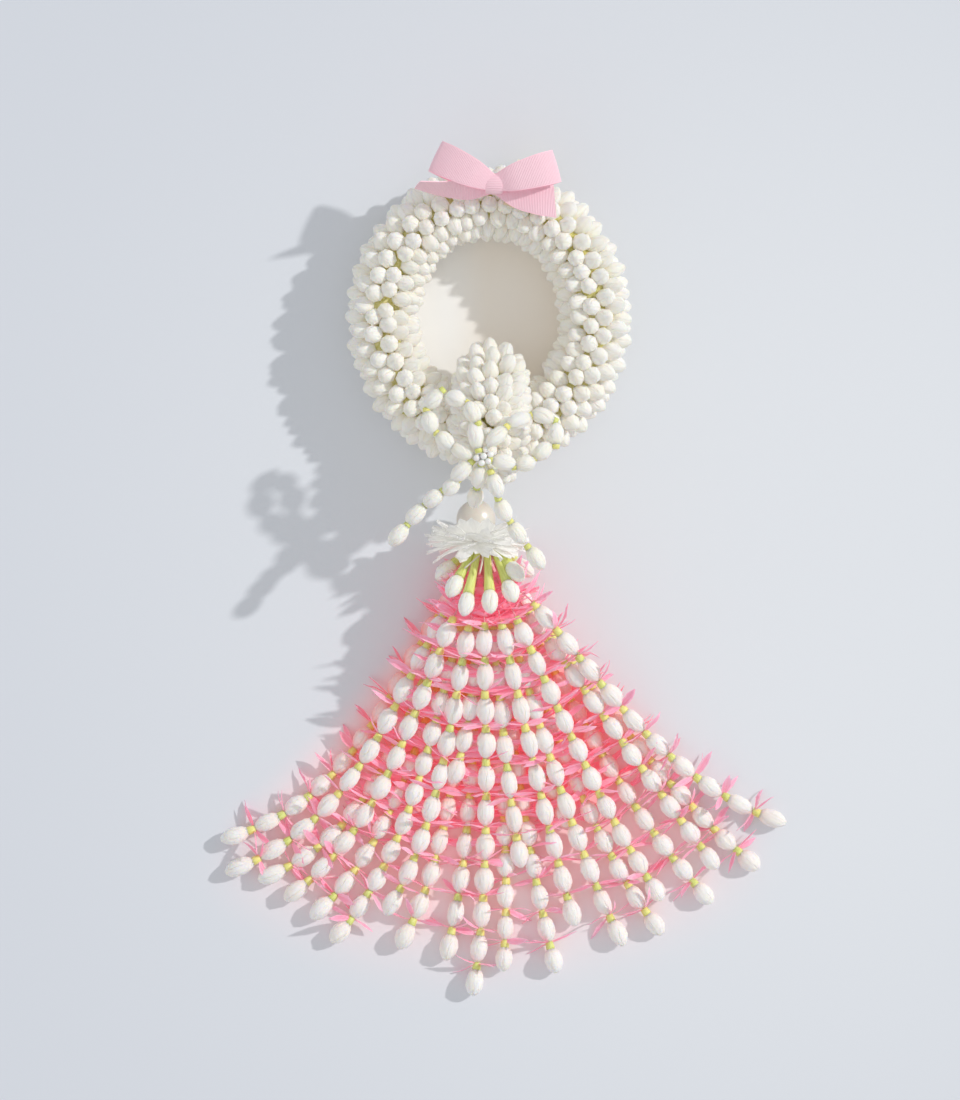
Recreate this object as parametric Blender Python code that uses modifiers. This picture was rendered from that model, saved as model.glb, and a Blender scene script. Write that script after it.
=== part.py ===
"""A jasmine garland with a tassel, lying on a surface.

Sizes below are in millimetres, and MM turns them into metres as each mesh is finished. X runs across the
garland, +Y from the tassel to the top of the ring, +Z up. The ring's centre is at X = Y = 0 while the
pieces are made, and centre_on_base then moves them all so that the origin is under the middle of the part.
"""

import math

import bmesh
import bpy
from mathutils import Matrix, Vector
from mathutils.bvhtree import BVHTree

MM = 0.001
GAP = 0.4  # between pieces that touch

# Ring: the half axes of its centre line, and how far the buds reach from it
RING_HALF_WIDTH = 50.0
RING_HALF_LENGTH = 54.5
RING_HEIGHT = 16.4
TIP_REACH = 18.3
TOUCH_REACH = 13.6
VALLEY_REACH = 9.0
RING_COLUMNS = 10
RING_ROWS = 32
RING_LENGTHS = 8
RESTING_LENGTHS = (1, 4, 6)
BORE_RADIUS = 1.7
BORE_SIDES = 6
BORE_INSET = 1.6
RING_THREAD_RADIUS = 0.7
BORE_STEPS = 3  # straight runs of the bore in each length

# Clasp: a half tube of buds bent over the ring's lower side
CLASP_START = math.radians(-6)
CLASP_END = math.radians(158)
CLASP_X = 0.8
CLASP_BASE = TIP_REACH + 1.0
CLASP_HALF_WIDTH = 20.5
CLASP_DEPTH = 21.5
CLASP_FRONT = 10.0  # extra depth on the side that reaches into the ring's hole
CLASP_COLUMNS = 6
CLASP_ROWS = 12
CLASP_TOUCH = 0.8
CLASP_VALLEY = 0.62
CLASP_FRONT_TAPER = 0.3
CLASP_END_TAPER = 0.55
CREST_STEPS = 6  # to find the crest's height, which depends on its own turn
CLASP_BASE_SPREAD = 0.78  # half width of the face against the ring, as a share of the clasp's half width

# Bow of threaded buds, on the clasp
KNOT = Vector((-2.6, -66.2, 57.4))
KNOT_RADIUS = 5.0
KNOT_HEIGHT = 4.2
BEAD_RADIUS = 1.8
BEAD_CIRCLE = 3.3
CHAIN_BUD_RADIUS = 4.1
CHAIN_NECK_RADIUS = 1.5
CHAIN_FILL = 0.43  # share of the pitch from a bud's middle to its end
CHAIN_TIP_RADIUS = 0.9
# Bud places from the ring's centre: X, Y and least height
CHAINS = {
    "bow_loop_left": (
        (-6.5, -57.1, 58), (-7.9, -45.7, 58), (-15.7, -39.5, 57), (-26.2, -39.5, 56),
        (-27.6, -50.4, 56), (-20.5, -59.0, 57), (-12.4, -63.8, 58),
    ),
    "bow_loop_right": (
        (6.8, -69.0, 59), (16.9, -69.6, 57), (24.8, -63.8, 56), (31.4, -55.7, 55),
        (25.2, -47.6, 55), (14.0, -49.5, 57), (3.4, -57.1, 58),
    ),
    "bow_tail_left": (
        (-13.0, -73.5, 57), (-18.0, -80.5, 55), (-26.2, -86.0, 53), (-34.3, -93.5, 51), (-42.5, -103.0, 50),
    ),
    "bow_tail_right": ((3.0, -79.8, 57), (6.7, -91.4, 51), (13.3, -101.9, 46), (21.9, -113.8, 43)),
    "bow_tail_middle": ((-4.8, -75.6, 54), (-6.6, -85.4, 46)),
}

# Neck: pearl and petal skirt, then binding and collar, each pair on an axis along Y
NECK_X = -1.9
NECK_HEIGHT = 17.0
PEARL_X = -6.2
PEARL_RADIUS = 9.3
PEARL_Y = -95.5
PEARL_BORE = 1.2
PEARL_SIDES = 14
PEARL_RINGS = 9
NECK_THREAD_RADIUS = 0.7
SKIRT_PETALS = 12
SKIRT_HOLE = 1.3
SKIRT_ROOT = 7.0
SKIRT_THICKNESS = 0.7
SKIRT_WIDTHS = ((0.55, 3.3), (1.0, 3.0))  # share of a petal's length, and its half width there
SKIRT_CLEARANCE = 1.2
# A round's name, its root's Y, how far it reaches, how far it leans down the tassel, and its turn
SKIRTS = (
    ("petal_skirt_upper", -105.4, 22.0, -8.0, 0.0),
    ("petal_skirt_lower", -107.0, 25.5, 9.0, math.pi / SKIRT_PETALS),
)
BINDING_RADIUS = 5.6
BINDING_LENGTH = 6.0
BINDING_Y = -108.6
COLLAR_RING_WIDTH = 2.4
COLLAR_RING_LENGTH = 2.4
COLLAR_RING_INSET = 1.5  # from the binding's upper end to the ring's middle
STEM_RADIUS = 1.7
COLLAR_BUD_RADIUS = 4.3
COLLAR_BUD_LENGTH = 12.4
# Bud places: X from the neck's axis, Y from the strands' origin, and height
COLLAR_BUDS = (
    (-18.6, -8.0, 20.0),
    (-14.6, -15.2, 31.5),
    (-9.0, -23.5, 36.0),
    (2.4, -22.3, 37.0),
    (12.0, -17.5, 35.0),
    (14.5, -8.5, 32.0),
    (18.2, -6.5, 21.0),
)

# Tassel strands: angle from straight down in degrees, length to the end of the last bud, and how far the
# middle of the strand hangs in towards the tassel's middle line
STRANDS = (
    (-42.8, 185, 18.0),
    (-39.2, 195.5, 18.0),
    (-34.8, 189, 19.0),
    (-30.1, 190, 12.7),
    (-25.5, 192, 11.8),
    (-21.6, 198.5, 11.0),
    (-17.0, 66, 0.0),
    (-15.4, 178, 7.5),
    (-12.3, 192, 8.4),
    (-8.35, 110, 3.6),
    (-5.6, 194, 4.2),
    (-1.6, 210, 4.0),
    (2.5, 198.5, -3.5),
    (6.6, 150, 1.2),
    (9.7, 202, 2.4),
    (13.7, 182, 1.2),
    (17.2, 136, 4.0),
    (19.5, 197.5, 3.6),
    (25.0, 199.5, 6.8),
    (27.1, 185, 3.4),
    (33.1, 198, 5.7),
    (36.5, 186, 0.5),
    (41.0, 198.5, 5.0),
    (48.2, 192, 13.0),
)
INWARD_SCALE = 6.75  # 1 over the greatest value of share^2 * (1 - share)
UPPER_BUD_STRANDS = (0, 20, 22)  # these have one more bud, nearer the neck
STRAND_ORIGIN_Y = -112.0
FIRST_BUD = 33.0
BUD_PITCH = 15.7
FLORET_SPACE = 1.5
THREAD_END = 2.0  # from the last point of the bare thread to the first floret
BUD_WIDEST = 0.52  # share of the bud's length
BUD_RADIUS = 4.2
BUD_TIP_RADIUS = 0.8
STRAND_NECK = 1.5
STRAND_THREAD = 0.45
BUD_SPACING = 9.2
STRAND_HEIGHT = BUD_RADIUS + 0.05
STRAND_LAYERS = (0, 2, 1, 3)  # in turn, from strand to strand
THREAD_POINTS = (0, 8, 16, 24)
PACKED_SPACING = (1.5, 1.8)  # of the threads where they leave the binding, across and up
MOST_PETALS = 3
PETAL_LENGTH = 10.5
PETAL_SHORTEST = 4.0
PETAL_CLEARANCE = 0.75
PETAL_TURNS = (0, -0.6, 0.6)
PETAL_LEANS = (0, 0.45, -0.45)
PETAL_CELL = 1.6

# Ribbon bow and the cream ribbon behind it
RIBBON_WIDTH = 15.5
RIBBON_THICKNESS = 0.8
RIBBON_KNOT = Vector((2.4, 61.9, 41.0))
KNOT_SIZE = (8.5, 9.0, 6.5)
# A loop's direction in degrees, length and rise
BOW_LOOPS = ((154.8, 30.8, 6.0), (16.0, 32.0, 5.5))
# Points of a loop: share of its length, height as a share of its rise or in millimetres, and half width
LOOP_ABOVE = ((0.04, 0.27, 0.26), (0.35, 1.0, 0.42), (0.75, 0.9, 0.5))
LOOP_BELOW = ((1.0, 0.6, 0.5), (0.72, -1.9, 0.5), (0.35, -1.6, 0.42), (0.04, -0.9, 0.26))
# Each tail's middle line from the knot, with the vector to one of its edges. The first is twisted.
BOW_TAILS = (
    (
        ((-1.0, -0.5, -2.0), (0, 4.0, 0)),
        ((-12.0, -2.0, -2.6), (0, 5.0, 3.5)),
        ((-24.0, -2.2, -1.0), (1.0, 3.0, 6.8)),
        ((-36.0, -0.5, 1.5), (1.5, 1.2, 7.6)),
    ),
    (
        ((1.0, -1.0, -2.0), (0.6, 4.0, 0)),
        ((10.0, -4.0, -2.8), (0.5, 7.0, 0.5)),
        ((20.0, -6.5, -3.0), (0.2, 7.75, 0)),
        ((28.5, -7.9, -4.0), (-0.7, 7.75, 0)),
    ),
)
CREAM_WIDTH = 14.3
CREAM_X = 14.0
CREAM_START = math.radians(96)  # round the ring's tube, from its outer side upward
CREAM_END = math.radians(-46)
CREAM_STEPS = 10
CREAM_LIFT = 2.2  # extra distance from the ring, past the buds under the bow

WHITE = (0.93, 0.91, 0.84, 1)
CREAM = (0.86, 0.78, 0.62, 1)
PINK = (0.93, 0.55, 0.66, 1)
GREEN = (0.66, 0.78, 0.36, 1)
PEARL = (0.92, 0.90, 0.87, 1)
BLUSH = (0.95, 0.80, 0.80, 1)
CLEAR_WHITE = (0.95, 0.95, 0.95, 1)

TIP, TOUCH, VALLEY = 1, 2, 3  # kinds of point in a sheet of buds
COLUMN_STEP = 0.95  # between columns of the flat sheet, in rows


def clear_scene():
    for old in list(bpy.data.objects):
        bpy.data.objects.remove(old, do_unlink=True)


def new_collection(name):
    group = bpy.data.collections.new(name)
    bpy.context.scene.collection.children.link(group)
    return group


def finish(name, colour, roughness):
    material = bpy.data.materials.new(name)
    material.use_nodes = True
    shader = material.node_tree.nodes["Principled BSDF"]
    shader.inputs["Base Color"].default_value = colour
    shader.inputs["Roughness"].default_value = roughness
    shader.inputs["Metallic"].default_value = 0.0
    return material


def add_mesh(name, bm, material):
    """Turns a bmesh in millimetres into an object in metres, faces outward."""
    bmesh.ops.recalc_face_normals(bm, faces=bm.faces[:])
    bm.transform(Matrix.Scale(MM, 4))
    mesh = bpy.data.meshes.new(name)
    bm.to_mesh(mesh)
    bm.free()
    obj = bpy.data.objects.new(name, mesh)
    obj.data.materials.append(material)
    GARLAND.objects.link(obj)
    return obj


def mesh_of(obj):
    """A bmesh in millimetres of the object as its modifiers leave it, and the object removed."""
    bpy.context.view_layer.update()
    graph = bpy.context.evaluated_depsgraph_get()
    mesh = bpy.data.meshes.new_from_object(obj.evaluated_get(graph))
    bm = bmesh.new()
    bm.from_mesh(mesh)
    bm.transform(Matrix.Scale(1 / MM, 4) @ obj.matrix_world)
    bpy.data.meshes.remove(mesh)
    bpy.data.objects.remove(obj)
    return bm


def tube_mesh(points, radii, sides):
    """A closed tube along the points, as a bmesh. Its radius changes evenly from point to point."""
    curve = bpy.data.curves.new("tube", "CURVE")
    curve.dimensions = "3D"
    curve.twist_mode = "MINIMUM"
    curve.bevel_depth = MM
    curve.bevel_resolution = (sides - 4) // 2
    curve.use_fill_caps = True
    spline = curve.splines.new("POLY")
    spline.points.add(len(points) - 1)
    for slot, point, radius in zip(spline.points, points, radii):
        slot.co = (*(Vector(point) * MM), 1)
        slot.radius = radius
    obj = bpy.data.objects.new("tube", curve)
    GARLAND.objects.link(obj)
    bm = mesh_of(obj)
    bpy.data.curves.remove(curve)
    bmesh.ops.remove_doubles(bm, verts=bm.verts[:], dist=0.001)
    return bm


def fuse(name, pieces, material):
    """One Boolean union of closed pieces, each a bmesh in millimetres."""
    base, *others = [add_mesh(name, bm, material) for bm in pieces]
    group = new_collection(name + "_pieces")
    for other in others:
        GARLAND.objects.unlink(other)
        group.objects.link(other)
    join = base.modifiers.new("join", "BOOLEAN")
    join.operation = "UNION"
    join.operand_type = "COLLECTION"
    join.collection = group
    join.solver = "EXACT"
    fused = mesh_of(base)
    for other in list(group.objects):
        bpy.data.objects.remove(other)
    bpy.data.collections.remove(group)
    bmesh.ops.remove_doubles(fused, verts=fused.verts[:], dist=0.002)
    return add_mesh(name, fused, material)


def is_tip(spot):
    """Whether this point of the flat sheet is one that the sheet had before it was divided."""
    column = spot.y / COLUMN_STEP
    along = spot.x - 0.5 * (round(column) % 2)
    return abs(column - round(column)) < 0.01 and abs(along - round(along)) < 0.01


def bud_lattice(columns, rows):
    """A flat sheet of buds. Alternate columns lie half a row further on, so that each bud has six neighbours.
    A bud's tip is joined to the points where it touches its neighbours, halfway to their tips, and between
    three buds lies a valley. X counts rows and Y counts columns, and a face knows the row of its bud."""
    bm = bmesh.new()
    kind = bm.verts.layers.int.new("kind")
    row = bm.faces.layers.int.new("row")
    bmesh.ops.create_grid(bm, x_segments=rows, y_segments=columns, size=0.5)
    for vert in bm.verts:
        column = round((vert.co.y + 0.5) * columns)
        along = round((vert.co.x + 0.5) * rows) + 0.5 * (column % 2)
        vert.co = (along, column * COLUMN_STEP, 0)
    bmesh.ops.triangulate(bm, faces=bm.faces[:], quad_method="SHORT_EDGE")
    bmesh.ops.subdivide_edges(bm, edges=bm.edges[:], cuts=1, use_grid_fill=True)
    for vert in bm.verts:
        vert[kind] = TIP if is_tip(vert.co) else TOUCH
    between = [face for face in bm.faces if all(vert[kind] == TOUCH for vert in face.verts)]
    for vert in bmesh.ops.poke(bm, faces=between)["verts"]:
        vert[kind] = VALLEY
    for face in bm.faces:
        own = [vert for vert in face.verts if vert[kind] == TIP]
        if not own:
            edge = next(e for e in face.edges if all(v[kind] == TOUCH for v in e.verts))
            corner = next(f for f in edge.link_faces if f is not face)
            own = [vert for vert in corner.verts if vert[kind] == TIP]
        face[row] = int(own[0].co.x + 0.01)
    return bm


def ring_point(along, around, reach):
    """A point of the ring: along counts rows of buds, around counts columns from the outer side upward."""
    turn = 2 * math.pi * along / RING_ROWS
    centre = Vector((RING_HALF_WIDTH * math.cos(turn), RING_HALF_LENGTH * math.sin(turn), RING_HEIGHT))
    outward = Vector((RING_HALF_LENGTH * math.cos(turn), RING_HALF_WIDTH * math.sin(turn), 0)).normalized()
    tilt = 2 * math.pi * around / RING_COLUMNS
    return centre + reach * (math.cos(tilt) * outward + math.sin(tilt) * Vector((0, 0, 1)))


def close_end(bm, loop, hub):
    """Joins an end's outline to the bore's rim with triangles, both in order round the tube."""
    def nearest(part):
        return int(part * len(hub) + 0.5) % len(hub)

    shares = [share for share, vert in loop]
    verts = [vert for share, vert in loop]
    count = len(verts)
    spokes = []
    for i in range(count):
        ahead = shares[(i + 1) % count] + (1 if i == count - 1 else 0)
        spokes.append(nearest((shares[i] + ahead) / 2 % 1))
    for i in range(count):
        bm.faces.new((verts[i], verts[(i + 1) % count], hub[spokes[i]]))
        if spokes[i] != spokes[i - 1]:
            bm.faces.new((verts[i], hub[spokes[i]], hub[spokes[i - 1]]))


def make_ring_length(index, material):
    """One length of the ring: its own rows of buds on a core with the thread's bore."""
    rows_each = RING_ROWS // RING_LENGTHS
    middle = (index + 0.5) * rows_each + 0.25
    bm = bud_lattice(RING_COLUMNS, RING_ROWS)
    kind = bm.verts.layers.int["kind"]
    row = bm.faces.layers.int["row"]
    others = [face for face in bm.faces if (face[row] % RING_ROWS) // rows_each != index]
    bmesh.ops.delete(bm, geom=others, context="FACES")
    reach = {TIP: TIP_REACH, TOUCH: TOUCH_REACH, VALLEY: VALLEY_REACH}
    place = bm.verts.layers.float_vector.new("place")
    for vert in bm.verts:
        vert[place] = (vert.co.x, vert.co.y / COLUMN_STEP, reach[vert[kind]])
        vert.co = ring_point(*vert[place])
    bmesh.ops.remove_doubles(bm, verts=bm.verts[:], dist=0.01)

    # Each end draws back a little from the next length, and is closed down to the bore.
    half_gap = GAP / 2 / (2 * math.pi * RING_HALF_WIDTH / RING_ROWS)
    loops = {1: [], -1: []}
    for vert in bm.verts:
        if any(edge.is_boundary for edge in vert.link_edges):
            along, around, far = vert[place]
            offset = (along - middle + RING_ROWS / 2) % RING_ROWS - RING_ROWS / 2
            side = 1 if offset > 0 else -1
            vert.co = ring_point(along - side * half_gap, around, far)
            loops[side].append((around / RING_COLUMNS % 1, vert))
    half_bore = rows_each / 2 - BORE_INSET / (2 * math.pi * RING_HALF_WIDTH / RING_ROWS)
    hubs = []
    for step in range(BORE_STEPS + 1):
        along = middle + half_bore * (2 * step / BORE_STEPS - 1)
        rim = [ring_point(along, RING_COLUMNS * k / BORE_SIDES, BORE_RADIUS) for k in range(BORE_SIDES)]
        hubs.append([bm.verts.new(spot) for spot in rim])
    for side, hub in ((-1, hubs[0]), (1, hubs[-1])):
        close_end(bm, sorted(loops[side], key=lambda pair: pair[0]), hub)
    for before, after in zip(hubs, hubs[1:]):
        for k in range(BORE_SIDES):
            m = (k + 1) % BORE_SIDES
            bm.faces.new((before[k], before[m], after[m], after[k]))

    # Tips under the ring are pressed flat on the surface, and some of them have a flat spot.
    if index in RESTING_LENGTHS:
        everything = bm.verts[:] + bm.edges[:] + bm.faces[:]
        bmesh.ops.bisect_plane(bm, geom=everything, plane_co=(0, 0, 0), plane_no=(0, 0, 1), clear_inner=True)
        bmesh.ops.holes_fill(bm, edges=[edge for edge in bm.edges if edge.is_boundary], sides=0)
    for vert in bm.verts:
        vert.co.z = max(vert.co.z, 0)
    return add_mesh(f"ring_buds_{index + 1}", bm, material)


def make_ring_thread(material):
    """The string through the ring: a closed loop, like a thin torus stretched to the ring's oval."""
    bpy.ops.mesh.primitive_torus_add(
        major_segments=RING_LENGTHS * BORE_STEPS,
        minor_segments=5,
        major_radius=1.0,
        minor_radius=RING_THREAD_RADIUS / RING_HALF_WIDTH,
    )
    obj = bpy.context.object
    bm = bmesh.new()
    bm.from_mesh(obj.data)
    bpy.data.objects.remove(obj)
    for vert in bm.verts:
        vert.co = (vert.co.x * RING_HALF_WIDTH, vert.co.y * RING_HALF_LENGTH, vert.co.z * RING_HALF_WIDTH)
    bmesh.ops.translate(bm, verts=bm.verts[:], vec=(0, 0, RING_HEIGHT))
    return add_mesh("ring_thread", bm, material)


def ring_middle(x):
    """Y of the ring's centre line on its lower side."""
    return -RING_HALF_LENGTH * math.sqrt(1 - (x / RING_HALF_WIDTH) ** 2)


def clasp_depth(cosine):
    """Depth of the clasp at the crest, from the cosine of its turn over the ring."""
    return CLASP_DEPTH + CLASP_FRONT * max(cosine, 0) ** 2


def clasp_point(along, across, depth):
    """A point of the clasp. Along turns it over the ring, across goes from one side over its crest to the
    other, and depth is the share of the full height: 1 at a bud's tip, 0 on the face against the ring."""
    share = min(max(along / CLASP_ROWS, 0), 1)
    turn = CLASP_START + share * (CLASP_END - CLASP_START)
    full = 1 - (CLASP_FRONT_TAPER if share < 0.5 else CLASP_END_TAPER) * abs(2 * share - 1) ** 4
    tilt = math.pi * (across / CLASP_COLUMNS - 0.5)
    spread = depth if depth > 0 else CLASP_BASE_SPREAD
    x = CLASP_X + CLASP_HALF_WIDTH * full * spread * math.sin(tilt)
    radius = CLASP_BASE + clasp_depth(math.cos(turn)) * full * depth * math.cos(tilt)
    return Vector((x, ring_middle(x) + radius * math.cos(turn), RING_HEIGHT + radius * math.sin(turn)))


def clasp_top(x, y):
    """Height of the clasp's crest above a place on the surface."""
    across = min(abs(x - CLASP_X) / CLASP_HALF_WIDTH, 1)
    ahead = y + RING_HALF_LENGTH
    cosine = 0
    for step in range(CREST_STEPS):
        radius = CLASP_BASE + clasp_depth(cosine) * math.sqrt(1 - across**2)
        cosine = min(ahead / radius, 1)
    return RING_HEIGHT + math.sqrt(max(radius**2 - ahead**2, 0))


def make_clasp(material):
    bm = bud_lattice(CLASP_COLUMNS, CLASP_ROWS)
    kind = bm.verts.layers.int["kind"]
    depth = {TIP: 1.0, TOUCH: CLASP_TOUCH, VALLEY: CLASP_VALLEY}
    rims = {0: [], CLASP_COLUMNS: []}
    for vert in bm.verts:
        along, across = vert.co.x, vert.co.y / COLUMN_STEP
        if round(across, 3) in rims:
            rims[round(across, 3)].append((along, vert))
        else:
            ends = along <= 0.01 or along >= CLASP_ROWS - 0.01
            vert.co = clasp_point(along, across, CLASP_VALLEY if ends else depth[vert[kind]])
    lines = []
    for across, rim in rims.items():
        rim.sort(key=lambda pair: pair[0])
        for along, vert in rim:
            vert.co = clasp_point(along, across, 0)
        lines.append([vert for along, vert in rim])
    # The face against the ring is two strips that meet on the clasp's middle line.
    middle = [bm.verts.new(clasp_point(along, CLASP_COLUMNS / 2, 0)) for along, vert in rims[0]]
    for line in lines:
        for i in range(len(middle) - 1):
            bm.faces.new((line[i], line[i + 1], middle[i + 1], middle[i]))
    bmesh.ops.holes_fill(bm, edges=[edge for edge in bm.edges if edge.is_boundary], sides=0)
    bmesh.ops.triangulate(bm, faces=[face for face in bm.faces if len(face.verts) > 4])
    return add_mesh("clasp_buds", bm, material)


def beside_knot(centre):
    """Where a thread that runs to this bud leaves the knot's beads."""
    way = Vector((centre.x - KNOT.x, centre.y - KNOT.y, 0)).normalized()
    return Vector((KNOT.x, KNOT.y, centre.z)) + way * (KNOT_RADIUS + GAP)


def chain_mesh(centres, returns):
    """A bud on each centre, threaded end to end from the knot. Each bud is widest at its centre. The last
    one ends at the knot again where the chain returns, and in a blunt tip where it hangs free."""
    centres = [Vector(centre) for centre in centres]
    points, radii = [], []
    for i, centre in enumerate(centres):
        before = centres[i - 1] if i else centre
        after = centres[i + 1] if i < len(centres) - 1 else centre
        step = (after - before) * (0.5 if before != centre != after else 1)
        near, far = centre - step * CHAIN_FILL, centre + step * CHAIN_FILL
        end_radius = CHAIN_NECK_RADIUS
        if before == centre:
            near = beside_knot(centre)
        if after == centre and returns:
            far = beside_knot(centre)
        elif after == centre:
            end_radius = CHAIN_TIP_RADIUS
        points += [near, centre, far]
        radii += [CHAIN_NECK_RADIUS, CHAIN_BUD_RADIUS, end_radius]
    return tube_mesh(points, radii, 6)


def over_clasp(x, y, height):
    """A place that clears the clasp, or lies at the given height beside it."""
    return (x, y, max(height, clasp_top(x, y) + CHAIN_BUD_RADIUS + GAP))


def make_bow_chains(material):
    """Loops and tails of buds round the knot."""
    for name, centres in CHAINS.items():
        centres = [over_clasp(*centre) for centre in centres]
        add_mesh(name, chain_mesh(centres, "loop" in name), material)


def sphere(centre, radius, around, up):
    bm = bmesh.new()
    bmesh.ops.create_uvsphere(bm, u_segments=around, v_segments=up, radius=radius)
    bmesh.ops.translate(bm, verts=bm.verts[:], vec=centre)
    return bm


def cylinder(centre, radius, length, sides, along_y=False):
    bm = bmesh.new()
    bmesh.ops.create_cone(
        bm, cap_ends=True, segments=sides, radius1=radius, radius2=radius, depth=length,
        matrix=Matrix.Rotation(math.pi / 2, 4, "X") if along_y else Matrix.Identity(4),
    )
    bmesh.ops.translate(bm, verts=bm.verts[:], vec=centre)
    return bm


def make_knot_beads(material):
    """Six beads round one, on a short post that the chains meet."""
    pieces = [cylinder(KNOT, KNOT_RADIUS, KNOT_HEIGHT, 10)]
    top = KNOT + Vector((0, 0, KNOT_HEIGHT / 2 + 0.6))
    pieces.append(sphere(top + Vector((0, 0, 0.8)), BEAD_RADIUS, 6, 4))
    for k in range(6):
        turn = math.radians(60 * k)
        spot = top + BEAD_CIRCLE * Vector((math.cos(turn), math.sin(turn), 0))
        pieces.append(sphere(spot, BEAD_RADIUS, 6, 4))
    return fuse("knot_beads", pieces, material)


def make_pearl(material):
    """A bead turned round its bore, which lies along Y."""
    edge = math.asin(PEARL_BORE / PEARL_RADIUS)
    curve = bmesh.new()
    profile = []
    for k in range(PEARL_RINGS):
        turn = edge + (math.pi - 2 * edge) * k / (PEARL_RINGS - 1)
        spot = Vector((PEARL_RADIUS * math.sin(turn), 0, PEARL_RADIUS * math.cos(turn)))
        profile.append(curve.verts.new(spot * MM))
    for before, after in zip(profile, profile[1:]):
        curve.edges.new((before, after))
    curve.edges.new((profile[-1], profile[0]))
    mesh = bpy.data.meshes.new("pearl_profile")
    curve.to_mesh(mesh)
    curve.free()
    obj = bpy.data.objects.new("pearl_profile", mesh)
    GARLAND.objects.link(obj)
    screw = obj.modifiers.new("turn", "SCREW")
    screw.axis = "Z"
    screw.steps = screw.render_steps = PEARL_SIDES
    screw.use_merge_vertices = True
    screw.merge_threshold = 1e-6
    bm = mesh_of(obj)
    bmesh.ops.rotate(bm, verts=bm.verts[:], matrix=Matrix.Rotation(math.pi / 2, 3, "X"))
    bmesh.ops.translate(bm, verts=bm.verts[:], vec=(PEARL_X, PEARL_Y, NECK_HEIGHT))
    return add_mesh("neck_pearl", bm, material)


def make_skirt(name, hub_y, reach, lean, turned, material):
    """A round of blunt petals: a disc with a hole, and from its rim a strip for each petal, which widens,
    leans along the neck and stays above the surface."""
    bm = bmesh.new()
    count = 2 * SKIRT_PETALS
    bmesh.ops.create_circle(bm, segments=count, radius=SKIRT_HOLE)
    inner = bm.edges[:]
    rim = bmesh.ops.extrude_edge_only(bm, edges=inner)["geom"]
    for vert in (part for part in rim if isinstance(part, bmesh.types.BMVert)):
        vert.co *= SKIRT_ROOT / SKIRT_HOLE
    outer = [part for part in rim if isinstance(part, bmesh.types.BMEdge)]
    outer.sort(key=lambda edge: math.atan2(*(edge.verts[0].co + edge.verts[1].co).yx) % (2 * math.pi))
    for edge in outer[::2]:
        middle = (edge.verts[0].co + edge.verts[1].co).normalized()
        across = Vector((-middle.y, middle.x, 0))
        down = math.cos(math.atan2(middle.y, middle.x) + turned + math.pi / 2)
        room = (NECK_HEIGHT - SKIRT_CLEARANCE) / max(down, 0.01) if down > 0 else reach
        tip = min(reach, room)
        last = [edge]
        for share, half in SKIRT_WIDTHS:
            out = bmesh.ops.extrude_edge_only(bm, edges=last)["geom"]
            last = [part for part in out if isinstance(part, bmesh.types.BMEdge)]
            far = SKIRT_ROOT + share * (tip - SKIRT_ROOT)
            last = [e for e in last if all(v in out for v in e.verts) and e not in outer]
            for vert in (part for part in out if isinstance(part, bmesh.types.BMVert)):
                side = 1 if vert.co.dot(across) > 0 else -1
                vert.co = middle * far + across * side * half + Vector((0, 0, lean * share**2))
    bmesh.ops.rotate(bm, verts=bm.verts[:], matrix=Matrix.Rotation(turned, 3, "Z"))
    bmesh.ops.rotate(bm, verts=bm.verts[:], matrix=Matrix.Rotation(math.pi / 2, 3, "X"))
    bmesh.ops.translate(bm, verts=bm.verts[:], vec=(PEARL_X, hub_y, NECK_HEIGHT))
    for vert in bm.verts:
        vert.co.z = max(vert.co.z, SKIRT_THICKNESS)
    obj = add_mesh(name, bm, material)
    wall = obj.modifiers.new("thickness", "SOLIDIFY")
    wall.thickness = SKIRT_THICKNESS * MM
    wall.offset = 0
    return obj


def make_binding(material):
    """The wrapping that holds the strands, and the neck's own thread through pearl and skirt."""
    centre = Vector((NECK_X, BINDING_Y - BINDING_LENGTH / 2, NECK_HEIGHT))
    add_mesh("binding", cylinder(centre, BINDING_RADIUS, BINDING_LENGTH, 12, along_y=True), material)
    start = clasp_point(CLASP_ROWS, CLASP_COLUMNS / 2, 0.3) + Vector((0, 0, -GAP - 1))
    above_pearl = (PEARL_X, PEARL_Y + PEARL_RADIUS + 1.0, NECK_HEIGHT)
    points = [start, above_pearl, (PEARL_X, BINDING_Y + GAP, NECK_HEIGHT)]
    add_mesh("neck_thread", tube_mesh(points, [NECK_THREAD_RADIUS] * 3, 6), material)


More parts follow.
